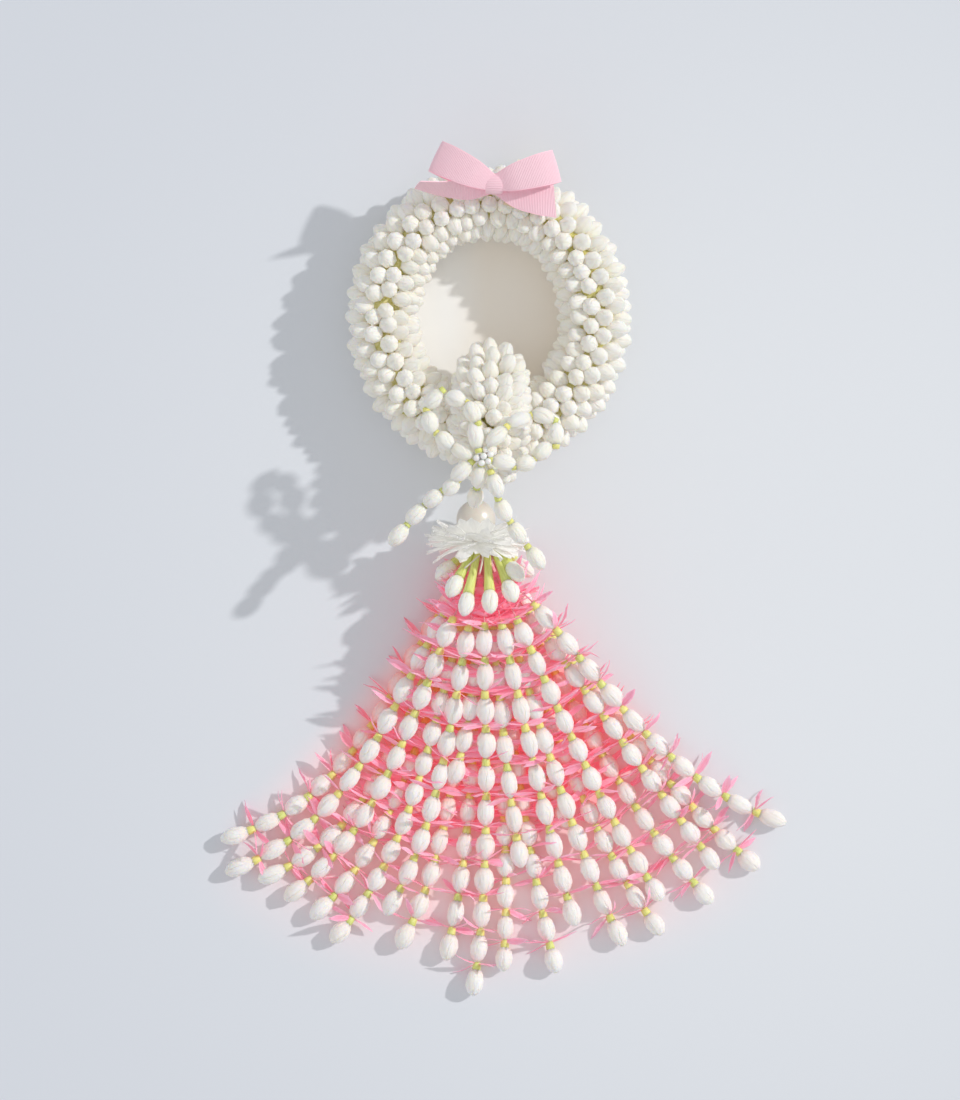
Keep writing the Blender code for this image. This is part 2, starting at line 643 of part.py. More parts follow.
def make_collar(material):
    """Buds on long stems that spread over the top of the tassel from a ring round the binding."""
    ring_y = BINDING_Y - COLLAR_RING_INSET
    inner = BINDING_RADIUS + GAP
    ring = bmesh.new()
    bmesh.ops.create_cone(
        ring, cap_ends=False, segments=12, radius1=inner, radius2=inner, depth=COLLAR_RING_LENGTH,
        matrix=Matrix.Rotation(math.pi / 2, 4, "X"),
    )
    bmesh.ops.translate(ring, verts=ring.verts[:], vec=(NECK_X, ring_y, NECK_HEIGHT))
    band = add_mesh("collar_ring", ring, material)
    wall = band.modifiers.new("thickness", "SOLIDIFY")
    wall.thickness = COLLAR_RING_WIDTH * MM
    wall.offset = 1
    pieces = [mesh_of(band)]
    root = Vector((NECK_X, ring_y, NECK_HEIGHT))
    for x, y, height in COLLAR_BUDS:
        centre = Vector((NECK_X + x, STRAND_ORIGIN_Y + y, height))
        side = Vector((centre.x - root.x, 0, centre.z - root.z)).normalized()
        start = root + side * (inner + STEM_RADIUS + 0.2)
        way = (centre - start).normalized()
        half = COLLAR_BUD_LENGTH / 2
        points = [start, centre - way * half, centre, centre + way * half * 0.9]
        pieces.append(tube_mesh(points, [STEM_RADIUS, STEM_RADIUS, COLLAR_BUD_RADIUS, 1.0], 6))
    return fuse("collar_buds", pieces, material)


def ease(low, high, value):
    """Rises smoothly from 0 at low to 1 at high."""
    share = min(max((value - low) / (high - low), 0), 1)
    return share * share * (3 - 2 * share)


def strand_height(layer, along):
    """Near the neck the strands lie in four layers. They come down to two, and at the ends to one."""
    inner = BUD_SPACING * (1 - ease(30, 108, along))
    outer = BUD_SPACING * (1 - ease(65, 190, along))
    return STRAND_HEIGHT + (0, inner, inner + outer, 2 * inner + outer)[layer]


def strand_layer(index):
    return STRAND_LAYERS[index % len(STRAND_LAYERS)]


def strand_point(index, along):
    """A point of a strand's line, which leaves the binding in its own place and spreads to its angle."""
    angle, length, inward = STRANDS[index]
    turn = math.radians(angle)
    layer = strand_layer(index)
    way = Vector((math.sin(turn), -math.cos(turn), 0))
    towards_middle = Vector((math.cos(turn), math.sin(turn), 0)) * (1 if angle < 0 else -1)
    part = along / length
    spot = Vector((NECK_X, STRAND_ORIGIN_Y, 0)) + way * along
    spot += towards_middle * inward * INWARD_SCALE * part**2 * (1 - part)
    spot.z = strand_height(layer, along)
    share = ease(3, FIRST_BUD - 3, along)
    packed = Vector((
        NECK_X + (index // 4 - 2.5) * PACKED_SPACING[0] + way.x * along * 0.6,
        BINDING_Y - BINDING_LENGTH - GAP - along * 0.8,
        NECK_HEIGHT + (layer - 1.5) * PACKED_SPACING[1],
    ))
    return packed.lerp(spot, share)


def strand_profile(index):
    """Places and radii along a strand, and the places of its florets."""
    length = STRANDS[index][1]
    count = round((length - FIRST_BUD) / BUD_PITCH)
    pitch = (length - FIRST_BUD) / count
    first = -1 if index in UPPER_BUD_STRANDS else 0
    last_thread = FIRST_BUD + first * pitch - THREAD_END
    places = [place for place in THREAD_POINTS if place < last_thread - THREAD_END] + [last_thread]
    radii = [STRAND_THREAD] * len(places)
    florets = []
    for k in range(first, count):
        start = FIRST_BUD + k * pitch
        bud = start + FLORET_SPACE
        places += [start, bud, bud + (pitch - FLORET_SPACE) * BUD_WIDEST]
        radii += [STRAND_NECK, STRAND_NECK, BUD_RADIUS]
        florets.append(start + FLORET_SPACE / 2)
    places.append(length)
    radii.append(BUD_TIP_RADIUS)
    return places, radii, florets


def cell_of(point):
    return tuple(round(value / PETAL_CELL) for value in point)


def cells_round(point):
    """The small cells of space round a point."""
    x, y, z = cell_of(point)
    steps = (-1, 0, 1)
    return [(x + i, y + j, z + k) for i in steps for j in steps for k in steps]


def petal_tip(root, normal, axis, others, taken):
    """The end of a petal from this root: the furthest of several leans that stays clear of other strands,
    of petals already placed and of the surface, or None where there is no room."""
    side = axis.cross(normal).normalized()
    best, best_reach = None, PETAL_SHORTEST
    for turn in PETAL_TURNS:
        for lean in PETAL_LEANS:
            way = (normal + side * turn + axis * lean).normalized()
            reach = 1.0
            while reach <= PETAL_LENGTH:
                spot = root + way * reach
                thick = 1 - reach / PETAL_LENGTH
                distance = min(tree.find_nearest(spot)[3] for tree in others)
                if spot.z < 0.5 or distance < PETAL_CLEARANCE + thick:
                    break
                if reach > 2 and any(cell in taken for cell in cells_round(spot)):
                    break
                reach += 1.0
            if reach - 1.5 > best_reach:
                best, best_reach = root + way * (reach - 1.5), reach - 1.5
    return best


def make_strands(material):
    """Every strand of the tassel: buds on their thread, with a four-petalled floret above each bud."""
    strands = []
    for index in range(len(STRANDS)):
        places, radii, florets = strand_profile(index)
        points = [strand_point(index, place) for place in places]
        bm = tube_mesh(points, radii, 4)
        bmesh.ops.recalc_face_normals(bm, faces=bm.faces[:])
        spots = [(strand_point(index, place), strand_point(index, place + 1)) for place in florets]
        strands.append((bm, [(spot, (ahead - spot).normalized()) for spot, ahead in spots]))
    trees = [BVHTree.FromBMesh(bm) for bm, florets in strands]
    taken = set()
    for index, (bm, florets) in enumerate(strands):
        near = [trees[k] for k in range(max(index - 5, 0), min(index + 6, len(strands))) if k != index]
        for spot, axis in florets:
            faces = [
                face for face in bm.faces
                if len(face.verts) == 4 and (face.calc_center_median() - spot).length < STRAND_NECK
                and all(abs((vert.co - spot).dot(axis)) < FLORET_SPACE for vert in face.verts)
            ]
            found = []
            for face in faces:
                root = face.calc_center_median()
                tip = petal_tip(root, face.normal, axis, near, taken)
                if tip is not None:
                    found.append(((tip - root).length, root, tip, face))
            found.sort(key=lambda entry: -entry[0])
            for length, root, tip, face in found[:MOST_PETALS]:
                end = bmesh.ops.poke(bm, faces=[face])["verts"][0]
                end.co = tip
                for k in range(1, int(length) + 1):
                    taken.add(cell_of(root.lerp(tip, k / length)))
        add_mesh(f"tassel_strand_{index + 1:02d}", bm, material)


def ribbon_mesh(middles, sides, material):
    """A strip through the middles, its edges at plus and minus the side vectors, thickened evenly."""
    bm = bmesh.new()
    bmesh.ops.create_grid(bm, x_segments=len(middles) - 1, y_segments=1, size=0.5)
    for vert in bm.verts:
        k = round((vert.co.x + 0.5) * (len(middles) - 1))
        vert.co = Vector(middles[k]) + Vector(sides[k]) * (1 if vert.co.y > 0 else -1)
    obj = add_mesh("ribbon_strip", bm, material)
    wall = obj.modifiers.new("thickness", "SOLIDIFY")
    wall.thickness = RIBBON_THICKNESS * MM
    wall.offset = 0
    return mesh_of(obj)


def bow_loop(way, length, rise, material):
    """A loop of ribbon: out above, round a fold and back below, pinched at the knot."""
    ahead = Vector((math.cos(way), math.sin(way), 0))
    across = Vector((-ahead.y, ahead.x, 0))
    route = [(far, rise * up, half) for far, up, half in LOOP_ABOVE] + list(LOOP_BELOW)
    middles = [RIBBON_KNOT + ahead * length * far + Vector((0, 0, up)) for far, up, half in route]
    sides = [across * RIBBON_WIDTH * half for far, up, half in route]
    return ribbon_mesh(middles, sides, material)


def make_ribbon_bow(material):
    knot = bmesh.new()
    bmesh.ops.create_cube(knot, size=1.0, matrix=Matrix.Diagonal((*KNOT_SIZE, 1)))
    bmesh.ops.bevel(knot, geom=knot.edges[:], offset=1.6, segments=1, affect="EDGES")
    bmesh.ops.translate(knot, verts=knot.verts[:], vec=RIBBON_KNOT)
    pieces = [knot]
    for way, length, rise in BOW_LOOPS:
        pieces.append(bow_loop(math.radians(way), length, rise, material))
    for route in BOW_TAILS:
        middles = [RIBBON_KNOT + Vector(middle) for middle, side in route]
        pieces.append(ribbon_mesh(middles, [side for middle, side in route], material))
    return fuse("ribbon_bow", pieces, material)


def make_cream_band(material):
    """A wide ribbon that follows the outer side of the ring from under the bow down to the surface."""
    turn = math.acos(CREAM_X / RING_HALF_WIDTH)
    centre = Vector((CREAM_X, RING_HALF_LENGTH * math.sin(turn), RING_HEIGHT))
    outward = Vector((RING_HALF_LENGTH * math.cos(turn), RING_HALF_WIDTH * math.sin(turn), 0)).normalized()
    along = Vector((-outward.y, outward.x, 0)) * CREAM_WIDTH / 2
    middles = []
    for k in range(CREAM_STEPS + 1):
        tilt = CREAM_START + (CREAM_END - CREAM_START) * k / CREAM_STEPS
        reach = TIP_REACH + GAP + RIBBON_THICKNESS / 2 + CREAM_LIFT * ease(0, 0.5, k / CREAM_STEPS)
        middles.append(centre + reach * (math.cos(tilt) * outward + math.sin(tilt) * Vector((0, 0, 1))))
    return ribbon_mesh(middles, [along] * (CREAM_STEPS + 1), material)


def centre_on_base():
    """Moves every piece so that the origin is on the surface, under the middle of the whole part."""
    bpy.context.view_layer.update()
    graph = bpy.context.evaluated_depsgraph_get()
    corners = []
    for obj in GARLAND.objects:
        mesh = obj.evaluated_get(graph).to_mesh()
        corners += [obj.matrix_world @ vert.co for vert in mesh.vertices]
        obj.evaluated_get(graph).to_mesh_clear()
    low = [min(point[axis] for point in corners) for axis in range(3)]
    high = [max(point[axis] for point in corners) for axis in range(3)]
    shift = Vector((-(low[0] + high[0]) / 2, -(low[1] + high[1]) / 2, -low[2]))
    for obj in GARLAND.objects:
        obj.data.transform(Matrix.Translation(shift))


clear_scene()
GARLAND = new_collection("jasmine_garland")
buds = finish("jasmine_buds", WHITE, 0.7)
thread = finish("thread", CREAM, 0.8)
tassel = finish("tassel_buds_and_florets", BLUSH, 0.7)
petals = finish("skirt_petals", CLEAR_WHITE, 0.5)
pearls = finish("pearls", PEARL, 0.15)

for length_index in range(RING_LENGTHS):
    make_ring_length(length_index, buds)
make_ring_thread(thread)
make_clasp(buds)
make_bow_chains(buds)
make_knot_beads(pearls)
make_pearl(pearls)
for skirt in SKIRTS:
    make_skirt(*skirt, petals)
make_binding(thread)
make_collar(finish("collar_buds", GREEN, 0.6))
make_strands(tassel)
make_ribbon_bow(finish("pink_ribbon", PINK, 0.6))
add_mesh("cream_ribbon", make_cream_band(thread), finish("cream_ribbon", CREAM, 0.5))
centre_on_base()
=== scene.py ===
"""The looks of a jasmine garland: a ring of threaded buds with a clasp, a bow of buds, a pearl, a petal
skirt, a fanned tassel of buds and pink florets, and ribbons. Sizes are in millimetres until a piece is made,
and are measured from the ring's centre on the surface: X across, +Y from the tassel to the top of the ring,
+Z up. The materials, the floor and the camera work in metres.
"""

import math

import bpy
import numpy as np
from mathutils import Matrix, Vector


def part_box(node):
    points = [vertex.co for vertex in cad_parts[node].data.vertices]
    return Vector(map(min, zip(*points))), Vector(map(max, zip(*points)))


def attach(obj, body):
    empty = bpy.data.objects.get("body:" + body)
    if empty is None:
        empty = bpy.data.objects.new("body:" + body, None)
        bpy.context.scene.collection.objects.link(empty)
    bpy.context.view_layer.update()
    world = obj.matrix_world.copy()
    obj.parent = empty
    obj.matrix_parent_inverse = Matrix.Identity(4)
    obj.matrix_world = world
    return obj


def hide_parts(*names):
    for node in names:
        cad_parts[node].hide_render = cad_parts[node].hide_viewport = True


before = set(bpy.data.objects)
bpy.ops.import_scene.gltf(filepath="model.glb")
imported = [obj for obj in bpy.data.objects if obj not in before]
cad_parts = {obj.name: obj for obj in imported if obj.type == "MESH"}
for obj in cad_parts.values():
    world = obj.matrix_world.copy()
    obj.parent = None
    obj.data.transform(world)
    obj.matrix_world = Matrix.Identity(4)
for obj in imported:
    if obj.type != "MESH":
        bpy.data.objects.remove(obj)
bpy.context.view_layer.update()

MM = 0.001
RNG = np.random.default_rng(41)
low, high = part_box("ring_thread")
RING_CENTRE = np.array([(low.x + high.x) / 2, (low.y + high.y) / 2, 0.0])
UP = np.array([0, 0, 1.0])
SURFACE_GAP = 0.05  # no bud lies lower than this over the surface below
BUD_LENGTH = 12.4

# The ring's centre line and its buds
RING_HALF_WIDTH = 50.0
RING_HALF_LENGTH = 54.5
RING_MEAN_RADIUS = 52.3
RING_HEIGHT = 16.4
TIP_REACH = 18.3
RING_ROWS = 38
RING_COLUMNS = 12
RING_NODES = 8
RING_BUD_MIDDLE = 12.7  # from the centre line to the middle of a bud
RING_BUD_FILL = 0.575  # a bud's radius as a share of the room between its neighbours
RING_BUD_RADII = (3.4, 4.4)  # the least and the greatest
RING_CALYX_RADIUS = 2.2
RING_STALKS_RADIUS = 9.6
STRING_RADIUS = 0.7

# The clasp, bent over the ring's lower side
CLASP_START = math.radians(-6)
CLASP_END = math.radians(158)
CLASP_X = 0.8
CLASP_BASE = TIP_REACH + 1.0
CLASP_HALF_WIDTH = 20.5
CLASP_DEPTH = 21.5
CLASP_FRONT = 10.0  # how much deeper it is on the side that reaches into the ring's hole
CLASP_FRONT_TAPER = 0.3  # how much smaller it gets towards the hole, as a share
CLASP_END_TAPER = 0.55  # and towards the neck
CLASP_ROWS = 13
CLASP_COLUMNS = 7
CLASP_BUD_RADIUS = 4.1
CLASP_ROOT = 0.12  # the depth that the stalks lie at, as a share of a bud tip's
CLASP_STALKS_RADIUS = 4.2
CREST_ROUNDS = 6  # rounds of working out that settle the height of the crest
CLASP_CALYX_LENGTH = 3.3

# The bow of threaded buds
KNOT = np.array([-2.6, -66.2, 57.4])
CHAIN_BUD_RADIUS = 4.1
CHAIN_CALYX_RADIUS = 1.9
CHAIN_THREAD_RADIUS = 0.35
CHAIN_START = 3.0  # how far from the knot's middle a chain begins
CHAIN_GAP = 0.4
CHAINS = {
    "bow_loop_left": (
        (-6.5, -57.1, 58), (-7.9, -45.7, 58), (-15.7, -39.5, 57), (-26.2, -39.5, 56),
        (-27.6, -50.4, 56), (-20.5, -59.0, 57), (-12.4, -63.8, 58),
    ),
    "bow_loop_right": (
        (6.8, -69.0, 59), (16.9, -69.6, 57), (24.8, -63.8, 56), (31.4, -55.7, 55),
        (25.2, -47.6, 55), (14.0, -49.5, 57), (3.4, -57.1, 58),
    ),
    "bow_tail_left": (
        (-13.0, -73.5, 57), (-18.0, -80.5, 55), (-26.2, -86.0, 53), (-34.3, -93.5, 51), (-42.5, -103.0, 50),
    ),
    "bow_tail_right": ((3.0, -79.8, 57), (6.7, -91.4, 51), (13.3, -101.9, 46), (21.9, -113.8, 43)),
    "bow_tail_middle": ((-4.8, -75.6, 54), (-6.6, -85.4, 46)),
}

# The knot's beads, six round one, and the thread wound under them
BEAD_RADIUS = 1.72
BEAD_RING_RADIUS = 3.25
BEAD_HEIGHT = 2.7  # of the six over the knot's middle
KNOT_RADIUS = 3.6
KNOT_THREAD_RADIUS = 0.45
KNOT_TURNS = 5

# The neck: pearl and petal skirt, then binding and collar, each pair on an axis along Y
NECK_X = -1.9
NECK_HEIGHT = 17.0
PEARL_X = -6.2
PEARL_RADIUS = 9.3
PEARL_Y = -95.5
BINDING_Y = -108.6
BINDING_RADIUS = 5.6
BINDING_LENGTH = 6.0
BINDING_TURNS = 7
BINDING_THREAD_RADIUS = 0.45
STRAND_ORIGIN_Y = -112.0
# In metres, the place on the surface that the strands spread from
FAN_ORIGIN = RING_CENTRE + np.array([NECK_X, STRAND_ORIGIN_Y, 0]) * MM

# The skirt's rounds of petals, from the pearl to the tassel. Each has the Y of its middle, its reach, how far
# its tips lean along Y, the turn of its first petal and how many petals it has
UPPER_ROUNDS = (
    (-104.2, 21.0, -6.0, 0.1, 13),
    (-104.7, 23.5, -4.0, 0.35, 14),
    (-105.2, 25.0, -2.2, 0.0, 14),
)
LOWER_ROUNDS = (
    (-105.8, 25.5, -0.5, 0.2, 14),
    (-106.3, 25.5, 1.2, 0.0, 14),
    (-106.8, 24.5, 3.0, 0.3, 13),
    (-107.4, 23.0, 5.0, 0.15, 13),
)
SKIRT_CLOTH_THICKNESS = 0.2
SKIRT_PETAL_ROOT = 3.6  # from the neck's axis

# The collar's buds, each with X and Y from the strands' origin and its height, and the ends of its threads
COLLAR_BUDS = (
    (-18.6, -8.0, 20.0),
    (-14.6, -15.2, 31.5),
    (-9.0, -23.5, 36.0),
    (2.4, -22.3, 37.0),
    (12.0, -17.5, 35.0),
    (14.5, -8.5, 32.0),
    (18.2, -6.5, 21.0),
)
COLLAR_Y = BINDING_Y - 1.5
COLLAR_ROOT_RADIUS = BINDING_RADIUS + 1.9  # from the neck's axis to the starts of the green tubes
COLLAR_RING_RADIUS = BINDING_RADIUS + 0.9  # of the three turns of thread that hold them
COLLAR_RING_GAP = 0.8
COLLAR_BUD_RADIUS = 4.2
COLLAR_TUBE_RADII = ((0, 1.5), (0.6, 2.0), (1, 2.7))  # at shares of the tube's length
COLLAR_THREAD_RADIUS = 0.4
LOOSE_END_RADIUS = 0.38
COLLAR_THREAD_ENDS = (
    ((-2.9, -110.6, 29.0), (-3.1, -115.0, 33.5), (-4.3, -120.6, 34.0)),
    ((-4.6, -112.6, 29.5), (-7.8, -115.4, 32.5), (-11.6, -118.6, 32.0)),
)

# The tassel: each strand's angle from straight down in degrees, its length, and how far its middle hangs in
STRANDS = (
    (-42.8, 185, 18.0), (-39.2, 195.5, 18.0), (-34.8, 189, 19.0), (-30.1, 190, 12.7), (-25.5, 192, 11.8),
    (-21.6, 198.5, 11.0), (-17.0, 66, 0.0), (-15.4, 178, 7.5), (-12.3, 192, 8.4), (-8.35, 110, 3.6),
    (-5.6, 194, 4.2), (-1.6, 210, 4.0), (2.5, 198.5, -3.5), (6.6, 150, 1.2), (9.7, 202, 2.4),
    (13.7, 182, 1.2), (17.2, 136, 4.0), (19.5, 197.5, 3.6), (25.0, 199.5, 6.8), (27.1, 185, 3.4),
    (33.1, 198, 5.7), (36.5, 186, 0.5), (41.0, 198.5, 5.0), (48.2, 192, 13.0),
)
UPPER_BUD_STRANDS = (0, 20, 22)  # these have one more bud, nearer the neck
OUTER_STRANDS = (0, 1, 2, 21, 22, 23)
INWARD_SCALE = 6.75  # 1 over the greatest value of share^2 * (1 - share)
FIRST_BUD = 33.0
BUD_PITCH = 15.7
STAGGER = 2.2  # how far the first buds lie from even places, at random
STRAND_BUD_RADIUS = 4.6
STRAND_CALYX_RADIUS = 2.15
STRAND_THREAD_RADIUS = 0.35
STRAND_HEIGHT = 4.25
BUD_SPACING = 9.2  # between the strands that lie over one another
LAYERS = (0, 2, 1, 3)  # which layer each of four neighbouring strands lies in near the neck
TOP_LAYER = 3
PAIR_SPREAD = (30, 108)  # along a strand, where the upper layer of a pair comes down to the lower one
WHOLE_SPREAD = (65, 190)  # and where the upper pair of layers comes down to the lower pair
PACKED_GAPS = (1.5, 1.8)  # across and up, between the strands where the binding holds them
STRAND_CALYX = (0.1, 4.2)  # where a calyx starts and ends, from its station along the strand
STRAND_BUD_START = 3.4  # where its bud starts
STATION_FLORET = 0.5  # where its floret is

# The florets of the tassel
FLORET_LENGTH = 13.6
FLORETS_ABOVE = (0.33, 0.66, 1.0, 1.33, 1.66)  # over the first bud, in pitches of the buds
NECK_END = 9.0  # no floret is nearer the neck than this
DENSE_END = 130.0  # nearer the neck than this, a bud of an inner strand has two more florets
EXTRA_FLORET = -1.1  # where the first of the two is, from the bud's station. The other is half a pitch on
EXTRA_DROP = 2.6  # how much lower the two lie
# How far a petal may rise over its floret's place: of the two extra ones, of those over the first bud, of the
# others that lie under strands near the neck, and of those that lie free
EXTRA_RISE, NECK_RISE, PRESSED_RISE, FREE_RISE = 0.5, 1.5, 3.5, 9.0
# The share of petals that show their face from above: of the extra florets, of the others, and how much more
# on the outer strands
EXTRA_OPEN, OPEN, OUTER_OPEN = 0.8, 0.12, 0.2
PETAL_SHARES = np.array([0.0, 0.12, 0.35, 0.6, 0.82, 1.0])
PETAL_HALF_WIDTHS = 1.5 * np.array([0.3, 0.55, 0.95, 1.0, 0.6, 0.06])
PETAL_THICKNESS = 0.25
PETAL_FOLD = 0.28  # how far a petal's middle stands off its sides, as a share of its half width


# Materials


def srgb(red, green, blue):
    """A colour from its 0 to 255 screen values."""
    values = np.array([red, green, blue]) / 255
    linear = np.where(values <= 0.04045, values / 12.92, ((values + 0.055) / 1.055) ** 2.4)
    return (*[float(value) for value in linear], 1.0)


class Nodes:
    """A small writer of node trees. A value or colour may be given outright or as another node's output."""

    def __init__(self, tree):
        self.tree = tree

    def add(self, kind, **settings):
        """A new node with the given settings."""
        node = self.tree.nodes.new(kind)
        for name, value in settings.items():
            setattr(node, name, value)
        return node

    def link(self, source, target):
        """Joins an output to an input."""
        self.tree.links.new(source, target)

    def set(self, socket, value):
        """Gives an input a number, or joins an output to it."""
        if isinstance(value, bpy.types.NodeSocket):
            self.link(value, socket)
        else:
            socket.default_value = value

    def math(self, operation, first, second=0.0):
        """The result of a sum on one or two values."""
        node = self.add("ShaderNodeMath", operation=operation)
        self.set(node.inputs[0], first)
        self.set(node.inputs[1], second)
        return node.outputs[0]

    def inverse(self, mask):
        """1 less the mask."""
        return self.math("SUBTRACT", 1.0, mask)

    def mix(self, factor, first, second):
        """The first colour where the factor is 0, and the second where it is 1."""
        node = self.add("ShaderNodeMix", data_type="RGBA")
        self.set(node.inputs["Factor"], factor)
        self.set(node.inputs[6], first)
        self.set(node.inputs[7], second)
        return node.outputs[2]

    def tint(self, colour, second, mask, strength):
        """The colour with the second over it, by the mask times the strength."""
        return self.mix(self.math("MULTIPLY", mask, strength), colour, second)

    def attribute(self, name, output="Fac"):
        """An attribute of the mesh."""
        return self.add("ShaderNodeAttribute", attribute_name=name).outputs[output]

    def noise(self, vector, scale, detail=2.0, roughness=0.5):
        """A cloudy pattern from 0 to 1."""
        node = self.add("ShaderNodeTexNoise")
        self.set(node.inputs["Vector"], vector)
        self.set(node.inputs["Scale"], scale)
        self.set(node.inputs["Detail"], detail)
        self.set(node.inputs["Roughness"], roughness)
        return node.outputs["Fac"]

    def rise(self, value, start, end):
        """0 below the start, rising smoothly to 1 at the end."""
        node = self.add("ShaderNodeMapRange", interpolation_type="SMOOTHSTEP")
        self.set(node.inputs["Value"], value)
        self.set(node.inputs["From Min"], start)
        self.set(node.inputs["From Max"], end)
        return node.outputs["Result"]

    def fall(self, value, start, end):
        """1 below the start, falling smoothly to 0 at the end."""
        return self.inverse(self.rise(value, start, end))

    def scaled(self, vector, scale):
        """A vector with each part times its scale."""
        node = self.add("ShaderNodeMapping")
        self.set(node.inputs["Vector"], vector)
        node.inputs["Scale"].default_value = scale
        return node.outputs["Vector"]

    def separate(self, vector):
        """The X, Y and Z of a vector."""
        node = self.add("ShaderNodeSeparateXYZ")
        self.link(vector, node.inputs[0])
        return node.outputs

    def distance(self, place, point):
        """How far a place is from a fixed point."""
        node = self.add("ShaderNodeVectorMath", operation="DISTANCE")
        self.link(place, node.inputs[0])
        node.inputs[1].default_value = point
        return node.outputs["Value"]

    def coordinates(self, output="Object"):
        """The place on the object in metres, or on its UV map."""
        return self.add("ShaderNodeTexCoord").outputs[output]

    def bump(self, height, distance, strength=1.0, normal=None):
        """A normal that follows a height. The distance is in metres."""
        node = self.add("ShaderNodeBump")
        self.set(node.inputs["Height"], height)
        node.inputs["Distance"].default_value = distance
        node.inputs["Strength"].default_value = strength
        if normal is not None:
            self.link(normal, node.inputs["Normal"])
        return node.outputs["Normal"]


def new_material(name):
    """A material with its node writer and its shader."""
    material = bpy.data.materials.new(name)
    material.use_nodes = True
    material.cycles.emission_sampling = "NONE"
    nodes = Nodes(material.node_tree)
    shader = material.node_tree.nodes["Principled BSDF"]
    return material, nodes, shader


def new_group(name, inputs, outputs):
    """A node group with the given sockets, as pairs of name and socket type."""
    tree = bpy.data.node_groups.new(name, "ShaderNodeTree")
    for label, kind in inputs:
        tree.interface.new_socket(label, in_out="INPUT", socket_type=kind)
    for label, kind in outputs:
        tree.interface.new_socket(label, in_out="OUTPUT", socket_type=kind)
    nodes = Nodes(tree)
    return tree, nodes, nodes.add("NodeGroupInput"), nodes.add("NodeGroupOutput")


def petal_creases_group():
    """Fine lines that run from base to tip over a bud or petal, from its own place attribute: X along it, and
    Y and Z round it. The height output is for bump, and the shade output for colour: it is low in the
    grooves, where the colour takes a painted shade."""
    tree, nodes, given, made = new_group(
        "petal_creases",
        [("Place", "NodeSocketVector")],
        [("Height", "NodeSocketFloat"), ("Shade", "NodeSocketFloat")],
    )
    broad = nodes.noise(nodes.scaled(given.outputs["Place"], (0.6, 1.6, 1.6)), 1.5, 2.0)
    fine = nodes.noise(nodes.scaled(given.outputs["Place"], (0.9, 5.0, 5.0)), 2.2, 3.0, 0.6)
    height = nodes.math("ADD", nodes.math("MULTIPLY", broad, 0.65), nodes.math("MULTIPLY", fine, 0.35))
    nodes.link(height, made.inputs["Height"])
    nodes.link(nodes.rise(height, 0.32, 0.66), made.inputs["Shade"])
    return tree


def petal_folds_group():
    """The lines where a bud's petals fold over one another, from its facing attribute: X along it, Y and Z
    the cosine and sine round it. Each line is where the cosine of two and a half turns is 0, so there are
    five. The fold output is 1 in a line and 0 away from it."""
    tree, nodes, given, made = new_group(
        "petal_folds",
        [("Facing", "NodeSocketVector"), ("Break", "NodeSocketFloat"), ("Width", "NodeSocketFloat")],
        [("Fold", "NodeSocketFloat")],
    )
    along, cosine, sine = nodes.separate(given.outputs["Facing"])
    turn = nodes.math("ARCTAN2", sine, cosine)
    swerve = nodes.math("MULTIPLY", nodes.math("SUBTRACT", given.outputs["Break"], 0.5), 1.1)
    wave = nodes.math("COSINE", nodes.math("MULTIPLY", nodes.math("ADD", turn, swerve), 2.5))
    near = nodes.fall(nodes.math("ABSOLUTE", wave), 0.0, given.outputs["Width"])
    start = nodes.rise(along, 0.12, 0.4)
    some = nodes.rise(given.outputs["Break"], 0.3, 0.5)
    nodes.link(nodes.math("MULTIPLY", nodes.math("MULTIPLY", near, start), some), made.inputs["Fold"])
    return tree


def painted_depth_group():
    """How deep a place lies among the tassel's strands, from its object coordinates. Deep is 1 near the
    surface below, falls to 0 at the height of the upper strands, and fades out where the strands lie side by
    side. The tassel's materials paint a warm pink and amber shade and glow by it, for the florets' light."""
    tree, nodes, given, made = new_group(
        "painted_depth", [("Place", "NodeSocketVector")], [("Deep", "NodeSocketFloat")])
    height = nodes.separate(given.outputs["Place"])[2]
    under = nodes.fall(height, 0.005, 0.011)
    near = nodes.fall(nodes.distance(given.outputs["Place"], FAN_ORIGIN), 0.09, 0.155)
    nodes.link(nodes.math("MULTIPLY", under, near), made.inputs["Deep"])
    return tree


PETAL_CREASES = petal_creases_group()
PETAL_FOLDS = petal_folds_group()
PAINTED_DEPTH = painted_depth_group()


def creases(nodes):
    """The height and shade of the fine lines along each bud or petal."""
    node = nodes.add("ShaderNodeGroup", node_tree=PETAL_CREASES)
    nodes.link(nodes.attribute("place", "Vector"), node.inputs["Place"])
    return node.outputs["Height"], node.outputs["Shade"]


def folds(nodes, width):
    """The lines between petals, broken up along each bud so that some are short."""
    node = nodes.add("ShaderNodeGroup", node_tree=PETAL_FOLDS)
    nodes.link(nodes.attribute("facing", "Vector"), node.inputs["Facing"])
    nodes.link(nodes.noise(nodes.attribute("place", "Vector"), 0.9, 1.0), node.inputs["Break"])
    node.inputs["Width"].default_value = width
    return node.outputs["Fold"]


def painted_depth(nodes):
    """How deep this place of the surface lies in the tassel, from 0 to 1: the mask of the painted shade and
    glow.
    """
    node = nodes.add("ShaderNodeGroup", node_tree=PAINTED_DEPTH)
    nodes.link(nodes.coordinates(), node.inputs["Place"])
    return node.outputs["Deep"]


def paint_glow(nodes, shader, colour):
    """Gives a surface a faint glow of the colour: painted light that stands in for the light reaching it
    through the thin petals round it.
    """
    nodes.set(shader.inputs["Emission Color"], colour)
    shader.inputs["Emission Strength"].default_value = 1.0


def scatter_light(shader, weight, radius, scale):
    """Lets light enter the surface and leave it near by: for each colour, its radius times the scale in
    metres is how far it gets."""
    shader.inputs["Subsurface Weight"].default_value = weight
    shader.inputs["Subsurface Radius"].default_value = radius
    shader.inputs["Subsurface Scale"].default_value = scale


